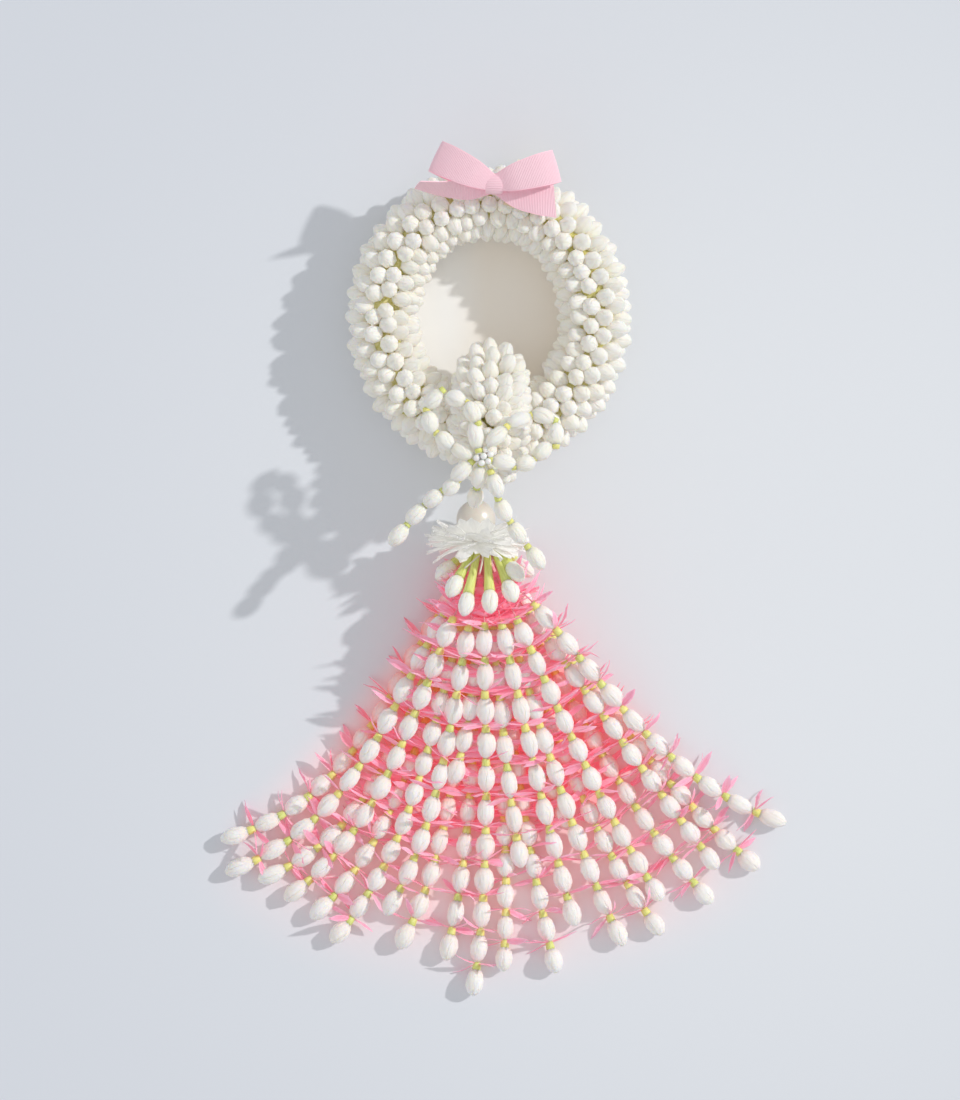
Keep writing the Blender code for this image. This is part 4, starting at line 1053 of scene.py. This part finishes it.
def make_clasp():
    """A half tube of buds bent over the ring, its buds pointing away from the ring."""
    row, column = rows_and_columns(CLASP_ROWS, CLASP_COLUMNS)
    count = len(row)
    share = (row + 0.25 + 0.5 * (column % 2) + RNG.normal(0, 0.11, count)) / CLASP_ROWS
    share = np.clip(share, 0.01, 0.99)
    cross = (column + 0.5 + RNG.normal(0, 0.09, count)) / CLASP_COLUMNS
    tip = clasp_point(share, cross, 1.0)
    root = clasp_point(share, cross, CLASP_ROOT)
    way = unit(tip - root)
    tip = tip - way * RNG.uniform(0, 1.6, count)[:, None]
    room = np.linalg.norm(tip - root, axis=1)
    length = np.minimum(BUD_LENGTH * RNG.normal(1, 0.03, count), room - 0.5)
    base = tip - way * length[:, None]
    piece = Piece()
    add_buds(piece, base, tip, CLASP_BUD_RADIUS * RNG.normal(1, 0.03, count), surface=0.3)
    calyx_base = tip - way * np.minimum(length + CLASP_CALYX_LENGTH, room)[:, None]
    add_calyxes(piece, calyx_base, base + way * 0.6, CHAIN_CALYX_RADIUS)
    piece.build("clasp_of_buds", [BUD, CALYX], ["clasp_buds"])
    stalks = Piece()
    line = clasp_point(np.linspace(0.05, 0.95, 40), 0.5, CLASP_ROOT)
    add_tube(stalks, line, CLASP_STALKS_RADIUS, 14, rough=0.05)
    stalks.build("clasp_stalks", [STALKS])


# The bow of threaded buds


def make_chains():
    """Loops and tails of buds, each bud lying along its thread with a calyx at its end nearer the knot. A bud
    is as long as the room between its neighbours lets it be."""
    for name, places in CHAINS.items():
        centres = np.array([
            (x, y, max(z, clasp_top(x, y) + CHAIN_BUD_RADIUS + CHAIN_GAP)) for x, y, z in places])
        loop = "loop" in name
        start = np.array([KNOT[0], KNOT[1], centres[0, 2]])
        route = [start + unit(centres[0] - start) * CHAIN_START, *centres]
        if loop:
            end = np.array([KNOT[0], KNOT[1], centres[-1, 2]])
            route.append(end + unit(centres[-1] - end) * CHAIN_START)
        route = np.array(route)
        piece = Piece()
        for k, centre in enumerate(centres):
            before = route[k]
            after = route[k + 2] if k + 2 < len(route) else centre + (centre - before) * 0.6
            way = unit(after - before)
            # Between two buds each has half of the room, and one at an end of the chain has more of it
            room_before = np.linalg.norm(centre - before) * (0.5 if k else 0.9)
            room_after = np.linalg.norm(after - centre) * (0.5 if k < len(centres) - 1 else 0.95)
            half = min(BUD_LENGTH / 2 + 0.2, (room_before + room_after) / 2 + 0.4)
            add_buds(piece, centre - way * (half - 0.6), centre + way * half, CHAIN_BUD_RADIUS)
            add_calyxes(piece, centre - way * (half + 1.5), centre - way * (half - 1.4), CHAIN_CALYX_RADIUS)
        line = smooth_line(route if loop else route[:-1], 6)
        add_tube(piece, line, CHAIN_THREAD_RADIUS, 6, material=2)
        piece.build(name.replace("bow", "bud_bow"), [BUD, CALYX, THREAD], [name])


def make_knot():
    """Six small beads round one, on the knot where the threads meet, and the thread wound under them."""
    top = KNOT + np.array([0, 0, BEAD_HEIGHT])
    turns = np.radians(60 * np.arange(6) + 14)
    around = top + BEAD_RING_RADIUS * np.stack([np.cos(turns), np.sin(turns), np.zeros(6)], 1)
    centres = np.vstack([around, top + UP])
    halves = unit(RNG.normal(0, 1, (7, 3)) * [1, 1, 0.4]) * (BEAD_RADIUS - 0.04)
    piece = Piece()
    add_turned(piece, centres - halves, centres + halves, BEAD_RADIUS, ball_profile(0.28, 11), sides=20)
    piece.build("knot_flower", [BEAD], ["knot_beads"])
    wrap = Piece()
    turns = circle(24)
    for k in range(KNOT_TURNS):
        line = np.stack([KNOT[0] + KNOT_RADIUS * np.cos(turns), KNOT[1] + KNOT_RADIUS * np.sin(turns),
                         np.full(len(turns), KNOT[2] - 1.6 + 0.75 * k)], 1)
        add_tube(wrap, line, KNOT_THREAD_RADIUS, 6, closed=True)
    add_turned(wrap, KNOT - 2.0 * UP, KNOT + 1.8 * UP, KNOT_RADIUS - 0.2, ROD_PROFILE, sides=16)
    wrap.build("knot_wrapping", [THREAD])


# The neck


def make_pearl():
    """The large pearl, a ball with its poles on the neck's axis."""
    centre = np.array([PEARL_X, PEARL_Y, NECK_HEIGHT])
    half = np.array([0, PEARL_RADIUS * 0.995, 0])
    piece = Piece()
    add_turned(piece, centre - half, centre + half, PEARL_RADIUS, ball_profile(0.13, 30), sides=48,
               spin=np.zeros(1))
    piece.build("pearl", [PEARL], ["neck_pearl"])


def add_skirt_round(piece, middle_y, reach, lean, first_turn, count):
    """A round of narrow blunt cloth petals. Each runs out from the neck's axis, leans along it by the share
    of its length to the power of 1.4, and waves, cups and twists a little. Its half width grows as a sine and
    ends in a blunt arc. The petals on top lean the most."""
    rows, columns = 10, 5
    share = np.linspace(0, 1, rows)[:, None]
    breadth = np.linspace(-1, 1, columns)[None, :]
    for k in range(count):
        turn = first_turn + 2 * math.pi * k / count + RNG.normal(0, 0.09)
        ahead = np.array([math.cos(turn), 0, math.sin(turn)])
        side = np.array([-math.sin(turn), 0, math.cos(turn)])
        tip = reach * RNG.uniform(0.86, 1.03)
        if ahead[2] < -0.05:
            tip = min(tip, (NECK_HEIGHT - 1.0) / -ahead[2])
        blunt = np.sqrt(np.maximum(1.02 - (np.maximum(share - 0.8, 0) / 0.2) ** 2, 0.03))
        half = (1.2 + RNG.uniform(1.9, 2.9) * np.sin(share**0.8 * math.pi * 0.56)) * blunt
        far = SKIRT_PETAL_ROOT + (tip - SKIRT_PETAL_ROOT) * share
        wave = RNG.normal(0, 0.9) * np.sin(3.4 * share + RNG.uniform(0, 6)) * share
        cup = RNG.normal(0.5, 0.4) * (1 - breadth**2) * share + RNG.normal(0, 1.0) * breadth * share
        leaning = lean * (1 + 0.35 * max(ahead[2], 0)) + RNG.normal(0, 1.6)
        fall = -leaning * share**1.4 + wave + cup
        drift = RNG.normal(0, 1.6) * share**2
        grid = (np.array([PEARL_X, middle_y, NECK_HEIGHT])
                + (far + 0 * breadth)[..., None] * ahead + (half * breadth + drift)[..., None] * side
                + (fall + 0 * breadth)[..., None] * np.array([0, 1.0, 0]))
        grid[..., 2] = np.maximum(grid[..., 2], 0.5)
        add_sheet(piece, grid, SKIRT_CLOTH_THICKNESS, tone=RNG.uniform(0, 1))


def make_skirt():
    """Seven rounds of petals: three lean up over the pearl, and four lean down over the tassel."""
    for name, rounds in (("upper", UPPER_ROUNDS), ("lower", LOWER_ROUNDS)):
        piece = Piece()
        for sizes in rounds:
            add_skirt_round(piece, *sizes)
        piece.build(f"skirt_{name}", [SKIRT], [f"petal_skirt_{name}"])


def make_binding():
    """Thread wound round the tops of the strands in a helix, and the neck's own thread."""
    piece = Piece()
    turns = np.linspace(0, 2 * math.pi * BINDING_TURNS, 24 * BINDING_TURNS)
    radius = BINDING_RADIUS - BINDING_THREAD_RADIUS
    wound_length = BINDING_LENGTH - 2 * BINDING_THREAD_RADIUS
    line = np.stack([
        NECK_X + radius * np.cos(turns),
        BINDING_Y - BINDING_THREAD_RADIUS - wound_length * np.linspace(0, 1, len(turns)),
        NECK_HEIGHT + radius * np.sin(turns),
    ], 1)
    add_tube(piece, line, BINDING_THREAD_RADIUS, 6)
    top = np.array([NECK_X, BINDING_Y, NECK_HEIGHT])
    add_turned(piece, top, top - [0, BINDING_LENGTH, 0], BINDING_RADIUS - 0.5, ROD_PROFILE, sides=20)
    piece.build("tassel_binding", [THREAD], ["binding"])
    thread = Piece()
    start = clasp_point(np.array([1.0]), 0.5, 0.3)[0] + [0, 0, -1.4]
    route = [start, (PEARL_X, PEARL_Y + PEARL_RADIUS + 1.0, NECK_HEIGHT), (PEARL_X, PEARL_Y, NECK_HEIGHT),
             (PEARL_X, BINDING_Y + 0.4, NECK_HEIGHT)]
    add_tube(thread, smooth_line(route, 5), STRING_RADIUS, 8)
    thread.build("neck_string", [THREAD], ["neck_thread"])


def make_collar():
    """Buds on long pale green tubes, over the top of the tassel, with the thread that holds them and its two
    loose ends."""
    piece = Piece()
    root = np.array([NECK_X, COLLAR_Y, NECK_HEIGHT])
    shares, radii = zip(*COLLAR_TUBE_RADII)
    half = BUD_LENGTH / 2
    for x, y, height in COLLAR_BUDS:
        centre = np.array([NECK_X + x, STRAND_ORIGIN_Y + y, height])
        side = unit(np.array([centre[0] - root[0], 0, centre[2] - root[2]]))
        start = root + side * COLLAR_ROOT_RADIUS
        way = unit(centre - start)
        middle = (start + centre - way * half) / 2 + [0, 0, 0.4]
        line = smooth_line([start, middle, centre - way * (half - 0.8)], 6)
        widths = np.interp(np.linspace(0, 1, len(line)), shares, radii)
        add_tube(piece, line, widths, 10, material=1, tone=RNG.uniform(0, 0.4))
        add_buds(piece, centre - way * half, centre + way * half, COLLAR_BUD_RADIUS)
    turns = circle(28)
    for place in (1, 0, -1):
        ring = np.stack([NECK_X + COLLAR_RING_RADIUS * np.cos(turns),
                         np.full(len(turns), COLLAR_Y + COLLAR_RING_GAP * place),
                         NECK_HEIGHT + COLLAR_RING_RADIUS * np.sin(turns)], 1)
        add_tube(piece, ring, COLLAR_THREAD_RADIUS, 6, material=2, closed=True)
    for end in COLLAR_THREAD_ENDS:
        add_tube(piece, smooth_line(end, 6), LOOSE_END_RADIUS, 6, material=2)
    piece.build("collar", [BUD, CALYX, THREAD], ["collar_buds"])


# The tassel


def ease(start, end, value):
    """Rises smoothly from 0 at the start to 1 at the end."""
    share = np.clip((value - start) / (end - start), 0, 1)
    return share * share * (3 - 2 * share)


def strand_point(index, along):
    """A point of a strand's line, which leaves the binding in its own place and spreads to its angle. Its
    middle hangs in by the share squared times one less the share, and near the neck the strands lie in four
    layers, which come down to the surface further on."""
    angle, length, hang = STRANDS[index]
    turn = math.radians(angle)
    layer = LAYERS[index % 4]
    way = np.array([math.sin(turn), -math.cos(turn), 0])
    towards_middle = np.array([math.cos(turn), math.sin(turn), 0]) * (1 if angle < 0 else -1)
    part = along / length
    in_pair = BUD_SPACING * (1 - ease(*PAIR_SPREAD, along))
    between = BUD_SPACING * (1 - ease(*WHOLE_SPREAD, along))
    spot = np.array([NECK_X, STRAND_ORIGIN_Y, 0]) + way * along
    spot += towards_middle * hang * INWARD_SCALE * part**2 * (1 - part)
    spot[2] = STRAND_HEIGHT + (0, in_pair, in_pair + between, 2 * in_pair + between)[layer]
    share = ease(3, FIRST_BUD - 3, along)
    packed = np.array([
        NECK_X + (index // 4 - 2.5) * PACKED_GAPS[0] + way[0] * along * 0.6,
        BINDING_Y - BINDING_LENGTH - 0.4 - along * 0.8,
        NECK_HEIGHT + (layer - 1.5) * PACKED_GAPS[1],
    ])
    return packed + (spot - packed) * share


def strand_points(index, places):
    """The strand's points at places along it."""
    return np.array([strand_point(index, place) for place in places])


def strand_stations(index):
    """Where along a strand its buds have their stations, shifted a little at random, and the pitch between
    them."""
    length = STRANDS[index][1]
    count = round((length - FIRST_BUD) / BUD_PITCH)
    pitch = (length - FIRST_BUD) / count
    first = -1 if index in UPPER_BUD_STRANDS else 0
    shift = RNG.uniform(-STAGGER, STAGGER)
    even = FIRST_BUD + pitch * np.arange(first, count)
    return even + shift * (1 - even / even[-1]), pitch


def add_florets(piece, centres, axes, rise, open_share):
    """Adds four narrow pointed petals round each place, square to the strand there. Each is a thin blade, a
    flat diamond across, folded along its middle. At a share of its length, its line is off the straight by an
    arch times the share squared plus a small wave, and its sides are turned by a twist times the share. No
    petal rises or falls further than its room, and one that would lies out sideways instead. Most show their
    edge from above, and the open ones their face."""
    count = 4 * len(centres)
    centre, axis = np.repeat(centres, 4, 0), np.repeat(axes, 4, 0)
    spin = np.repeat(RNG.normal(0, 0.4, len(centres)), 4) + np.tile(circle(4), len(centres))
    spin = spin + RNG.normal(0, 0.16, count)
    length = FLORET_LENGTH * RNG.uniform(0.8, 1.1, count)
    level = unit(np.cross(axis, UP))
    deepest = -np.maximum(centre[:, 2] - 0.8, 0.2) / length
    climb = np.clip(np.sin(spin), deepest, np.repeat(rise, 4) / length)
    spread = np.cos(spin) + 0.35 * np.sign(np.cos(spin))
    out = level * spread[:, None] + axis * RNG.normal(-0.08, 0.2, (count, 1))
    out = unit(out * [1, 1, 0])
    ahead = out * np.sqrt(1 - climb**2)[:, None] + climb[:, None] * UP
    opened = RNG.uniform(size=count) < np.repeat(open_share, 4)
    face_up = RNG.uniform(0.5, 1.3, count) * RNG.choice([-1, 1], count)
    facing = np.where(opened, face_up, RNG.normal(0, 0.3, count))
    square = unit(np.cross(ahead, axis))
    side = unit(square * np.cos(facing)[:, None] + np.cross(square, ahead) * np.sin(facing)[:, None])
    normal = np.cross(ahead, side)

    share = PETAL_SHARES[None, :]
    half = PETAL_HALF_WIDTHS[None, :] * (RNG.uniform(0.7, 1.15, (count, 1)) + 0.25 * opened[:, None])
    twist = RNG.normal(0, 0.5, (count, 1)) * share
    lift = RNG.normal(0.3, 1.5, (count, 1)) * share**2
    lift = lift + RNG.normal(0, 0.5, (count, 1)) * np.sin(6 * share + RNG.uniform(0, 6, (count, 1))) * share
    fold = PETAL_FOLD * half * RNG.choice([-1, 1], (count, 1))
    turned_side = side[:, None] * np.cos(twist)[..., None] + normal[:, None] * np.sin(twist)[..., None]
    turned_normal = normal[:, None] * np.cos(twist)[..., None] - side[:, None] * np.sin(twist)[..., None]
    straight = centre[:, None] + ahead[:, None] * (share * length[:, None])[..., None]
    line = straight + normal[:, None] * lift[..., None]
    edge = turned_side * half[..., None]
    top = turned_normal * (fold + PETAL_THICKNESS / 2)[..., None]
    bottom = turned_normal * (fold - PETAL_THICKNESS / 2)[..., None]
    points = np.stack([line + edge, line + top, line - edge, line + bottom], 2)
    points[..., 2] += np.maximum(0.3 - points[..., 2].min(2, keepdims=True), 0)

    rings = len(PETAL_SHARES)
    quads = turned_faces(rings, 4)[0]
    last = 4 * rings
    caps = np.array([[3, 2, 1, 0], [last - 4, last - 3, last - 2, last - 1]])
    step = (np.arange(count) * last)[:, None, None]
    shares = np.repeat(PETAL_SHARES, 4)
    local = np.stack([shares * 2, np.tile([1.0, 0, -1, 0], rings), np.tile([0, 0.3, 0, -0.3], rings)], 1)
    places = (local[None] + RNG.uniform(-20, 20, (count, 1, 3))).reshape(-1, 3)
    piece.add(
        points,
        [(np.concatenate([quads, caps])[None] + step).reshape(-1, 4)],
        material=2,
        along=np.tile(shares, count),
        place=places,
        tone=np.repeat(RNG.uniform(0, 1, count), last),
        rim=np.tile([True, False, True, False], count * rings),
    )


def make_tassel():
    """Strands of buds, each with its calyx and a floret above it, on a thread. Over the first bud are florets
    alone, and near the neck each bud of an inner strand has two more florets, which lie lower."""
    for index in range(len(STRANDS)):
        outside = index in OUTER_STRANDS
        piece = Piece()
        stations, pitch = strand_stations(index)
        bases = strand_points(index, stations + STRAND_BUD_START)
        tips = strand_points(index, stations + pitch + STRAND_CALYX[0])
        radii = STRAND_BUD_RADIUS * RNG.normal(1.0, 0.035, len(bases))
        add_buds(piece, bases, tips, radii, surface=SURFACE_GAP)
        calyx_ends = [strand_points(index, stations + offset) for offset in STRAND_CALYX]
        add_calyxes(piece, *calyx_ends, STRAND_CALYX_RADIUS)
        above = [place for place in stations[0] - pitch * np.array(FLORETS_ABOVE) if place > NECK_END]
        offsets = () if outside else (EXTRA_FLORET, pitch / 2)
        lower = [start + offset for start in stations if start < DENSE_END for offset in offsets]
        places = np.array([*above, *lower, *(stations + STATION_FLORET)])
        centres = strand_points(index, places)
        ahead = strand_points(index, places + 1)
        order = np.arange(len(places))
        at_neck = order < len(above)
        extra = ~at_neck & (order < len(above) + len(lower))
        centres[extra, 2] -= EXTRA_DROP
        pressed = (places < DENSE_END) & (LAYERS[index % 4] != TOP_LAYER)
        rise = np.select([extra, at_neck, pressed], [EXTRA_RISE, NECK_RISE, PRESSED_RISE], FREE_RISE)
        open_share = np.where(extra, EXTRA_OPEN, OPEN) + (OUTER_OPEN if outside else 0)
        add_florets(piece, centres, unit(ahead - centres), rise, open_share)
        line = strand_points(index, np.linspace(0, stations[-1] + 2, 60))
        add_tube(piece, line, STRAND_THREAD_RADIUS, 6, material=3)
        name = f"strand_{index + 1:02d}"
        piece.build(name, [TASSEL_BUD, TASSEL_CALYX, FLORET, TASSEL_THREAD],
                    [f"tassel_{name}"])


# Ribbons

RIBBON_KNOT = np.array([2.4, 61.9, 41.0])
RIBBON_WIDTH = 15.5
RIBBON_THICKNESS = 0.45
BOW_LOOPS = ((154.8, 30.4, 6.0), (16.0, 30.4, 5.5))  # the angle in degrees, the length and the rise of each
# Places along a loop, on its way out above and back below: a share of its length, a height, which above is a
# share of its rise, and its half width as a share of the ribbon's width
LOOP_ABOVE = ((0.04, 0.27, 0.26), (0.35, 1.0, 0.42), (0.75, 0.9, 0.5))
LOOP_BELOW = ((1.0, 0.6, 0.5), (0.72, -1.9, 0.5), (0.35, -1.6, 0.42), (0.04, -0.9, 0.26))
# Places along each tail from the knot, each with half the ribbon's width there as a vector
BOW_TAILS = (
    (
        ((-1.0, -0.5, -2.0), (0, 4.0, 0)),
        ((-12.0, -2.0, -2.6), (0, 5.0, 3.5)),
        ((-24.0, -2.2, -1.0), (1.0, 3.0, 6.8)),
        ((-36.0, -0.5, 1.5), (1.5, 1.2, 7.6)),
    ),
    (
        ((1.0, -1.0, -2.0), (0.6, 4.0, 0)),
        ((10.0, -4.0, -2.8), (0.5, 7.0, 0.5)),
        ((20.0, -6.5, -3.0), (0.2, 7.75, 0)),
        ((28.5, -7.9, -4.0), (-0.7, 7.75, 0)),
    ),
)
KNOT_BAND = (0.1, 4.3, 3.0)  # how far the band round the bow's middle sways, and its reach along Y and Z
KNOT_BAND_HALF_WIDTH = 4.0
CREAM_X = 14.0
CREAM_WIDTH = 14.3
CREAM_THICKNESS = 0.4
CREAM_START = 96.0  # degrees up from level, over the ring's string
CREAM_TURN = 142.0  # degrees that it runs on down the outer side
CREAM_PLACES = 15
CREAM_GAP = 0.8  # between the buds' tips and the ribbon where it starts
CREAM_RISE = 2.2  # how much further out it lies from halfway on


def ribbon_grid(middles, sides, steps, columns, crown=0.0):
    """A grid of points for a ribbon through the middles, with its UVs: share across, and millimetres along.
    The ribbon is crowned across by one less its breadth squared."""
    middle = smooth_line(middles, steps)
    side = smooth_line(sides, steps)
    breadth = np.linspace(-1, 1, columns)
    grid = middle[:, None] + side[:, None] * breadth[None, :, None]
    normal = unit(np.cross(np.gradient(middle, axis=0), side))
    grid = grid + normal[:, None] * (crown * (1 - breadth**2))[None, :, None]
    travelled = np.concatenate([[0], np.cumsum(np.linalg.norm(np.diff(middle, axis=0), axis=1))])
    uv = np.stack(np.broadcast_arrays((breadth / 2 + 0.5)[None], travelled[:, None]), -1)
    return grid, uv, travelled[-1]


def make_ribbon_bow():
    """The tied bow: two loops, two tails and the band round the knot, with the length of ribbon in it."""
    strips = []
    for way, length, rise in BOW_LOOPS:
        turn = math.radians(way)
        ahead = np.array([math.cos(turn), math.sin(turn), 0])
        side = np.array([-ahead[1], ahead[0], 0])
        route = [(far, rise * up, half) for far, up, half in LOOP_ABOVE] + list(LOOP_BELOW)
        middles = [RIBBON_KNOT + ahead * length * far + [0, 0, up] for far, up, half in route]
        sides = [side * RIBBON_WIDTH * half for far, up, half in route]
        strips.append(ribbon_grid(middles, sides, 8, 13, 0.3))
    for route in BOW_TAILS:
        middles = [RIBBON_KNOT + np.array(middle) for middle, side in route]
        strips.append(ribbon_grid(middles, [side for middle, side in route], 10, 13, 0.4))
    turns = circle(32)
    sway, reach_y, reach_z = KNOT_BAND
    band = np.stack([sway * np.sin(2 * turns), reach_y * np.cos(turns), reach_z * np.sin(turns)], 1)
    middles = RIBBON_KNOT + np.vstack([band, band[:1]])
    strips.append(ribbon_grid(middles, [(KNOT_BAND_HALF_WIDTH, 0, 0)] * len(middles), 2, 9, 0.5))
    piece = Piece()
    total = 0.0
    for grid, uv, run in strips:
        add_sheet(piece, grid, RIBBON_THICKNESS, uv=uv)
        total += run
    return piece.build("pink_bow", [GROSGRAIN], ["ribbon_bow"]), total


def make_cream_ribbon():
    """The ribbon that lies round the outer side of the ring behind the bow, in an arc, with its length."""
    turn = math.acos(CREAM_X / RING_HALF_WIDTH)
    centre, outward = [part[0] for part in ring_frame(np.array([turn]))]
    side = np.array([-outward[1], outward[0], 0]) * CREAM_WIDTH / 2
    share = np.linspace(0, 1, CREAM_PLACES)[:, None]
    tilt = np.radians(CREAM_START - CREAM_TURN * share)
    reach = TIP_REACH + CREAM_GAP + CREAM_RISE * ease(0, 0.5, share)
    middles = centre + reach * (np.cos(tilt) * outward + np.sin(tilt) * UP)
    grid, uv, run = ribbon_grid(middles, [side] * CREAM_PLACES, 3, 9, 0.4)
    piece = Piece()
    add_sheet(piece, grid, CREAM_THICKNESS, uv=uv)
    return piece.build("cream_band", [SATIN], ["cream_ribbon"]), run


make_ring()
make_clasp()
make_chains()
make_knot()
make_pearl()
make_skirt()
make_binding()
make_collar()
make_tassel()
pink_bow, bow_run = make_ribbon_bow()
cream_band, band_run = make_cream_ribbon()


# Floor, lights and camera, in metres

FLOOR_SIZE = 6.0
KEY_DIRECTION = (0.905, 0.425)  # across the surface, towards the light
KEY_HEIGHT = math.radians(32)
IMAGE_HEIGHT = 0.5236  # of the surface that the image's 1100 pixels cover
CAMERA_HEIGHT = 3.0
CAMERA_PLACE = (-0.0043, -0.110)  # from the ring's centre
SENSOR_HEIGHT = 36.0  # in millimetres

bpy.ops.mesh.primitive_plane_add(size=FLOOR_SIZE, location=(0, 0, 0))
floor = bpy.context.object
floor.name = "floor"
floor.data.materials.append(floor_material())

world = bpy.data.worlds.new("studio")
bpy.context.scene.world = world
world.use_nodes = True
world.node_tree.nodes["Background"].inputs["Color"].default_value = (0.96, 0.98, 1.0, 1.0)
world.node_tree.nodes["Background"].inputs["Strength"].default_value = 0.6
bpy.context.scene.view_settings.view_transform = "Standard"
bpy.context.scene.cycles.diffuse_bounces = 10


def add_sun(name, direction, strength, angle, colour):
    """A sun that shines from the given direction. Its angle in degrees is how soft its shadows are."""
    light = bpy.data.lights.new(name, "SUN")
    light.energy = strength
    light.angle = math.radians(angle)
    light.color = colour
    lamp = bpy.data.objects.new(name, light)
    x, y, z = direction
    lamp.rotation_euler = (math.atan2(math.hypot(x, y), z), 0, math.atan2(x, -y))
    bpy.context.scene.collection.objects.link(lamp)


add_sun("fill", (-0.75, -0.4, 0.45), 0.33, 80.0, (1.0, 0.98, 0.95))
add_sun("key", (*[part * math.cos(KEY_HEIGHT) for part in KEY_DIRECTION], math.sin(KEY_HEIGHT)), 1.75, 1.9,
        (1.0, 0.99, 0.97))

camera_data = bpy.data.cameras.new("camera")
camera_data.sensor_width = SENSOR_HEIGHT  # of the longer side, which is the image's height
camera_data.lens = SENSOR_HEIGHT * CAMERA_HEIGHT / IMAGE_HEIGHT
camera = bpy.data.objects.new("camera", camera_data)
camera.location = (RING_CENTRE[0] + CAMERA_PLACE[0], RING_CENTRE[1] + CAMERA_PLACE[1], CAMERA_HEIGHT)
bpy.context.scene.collection.objects.link(camera)
bpy.context.scene.camera = camera
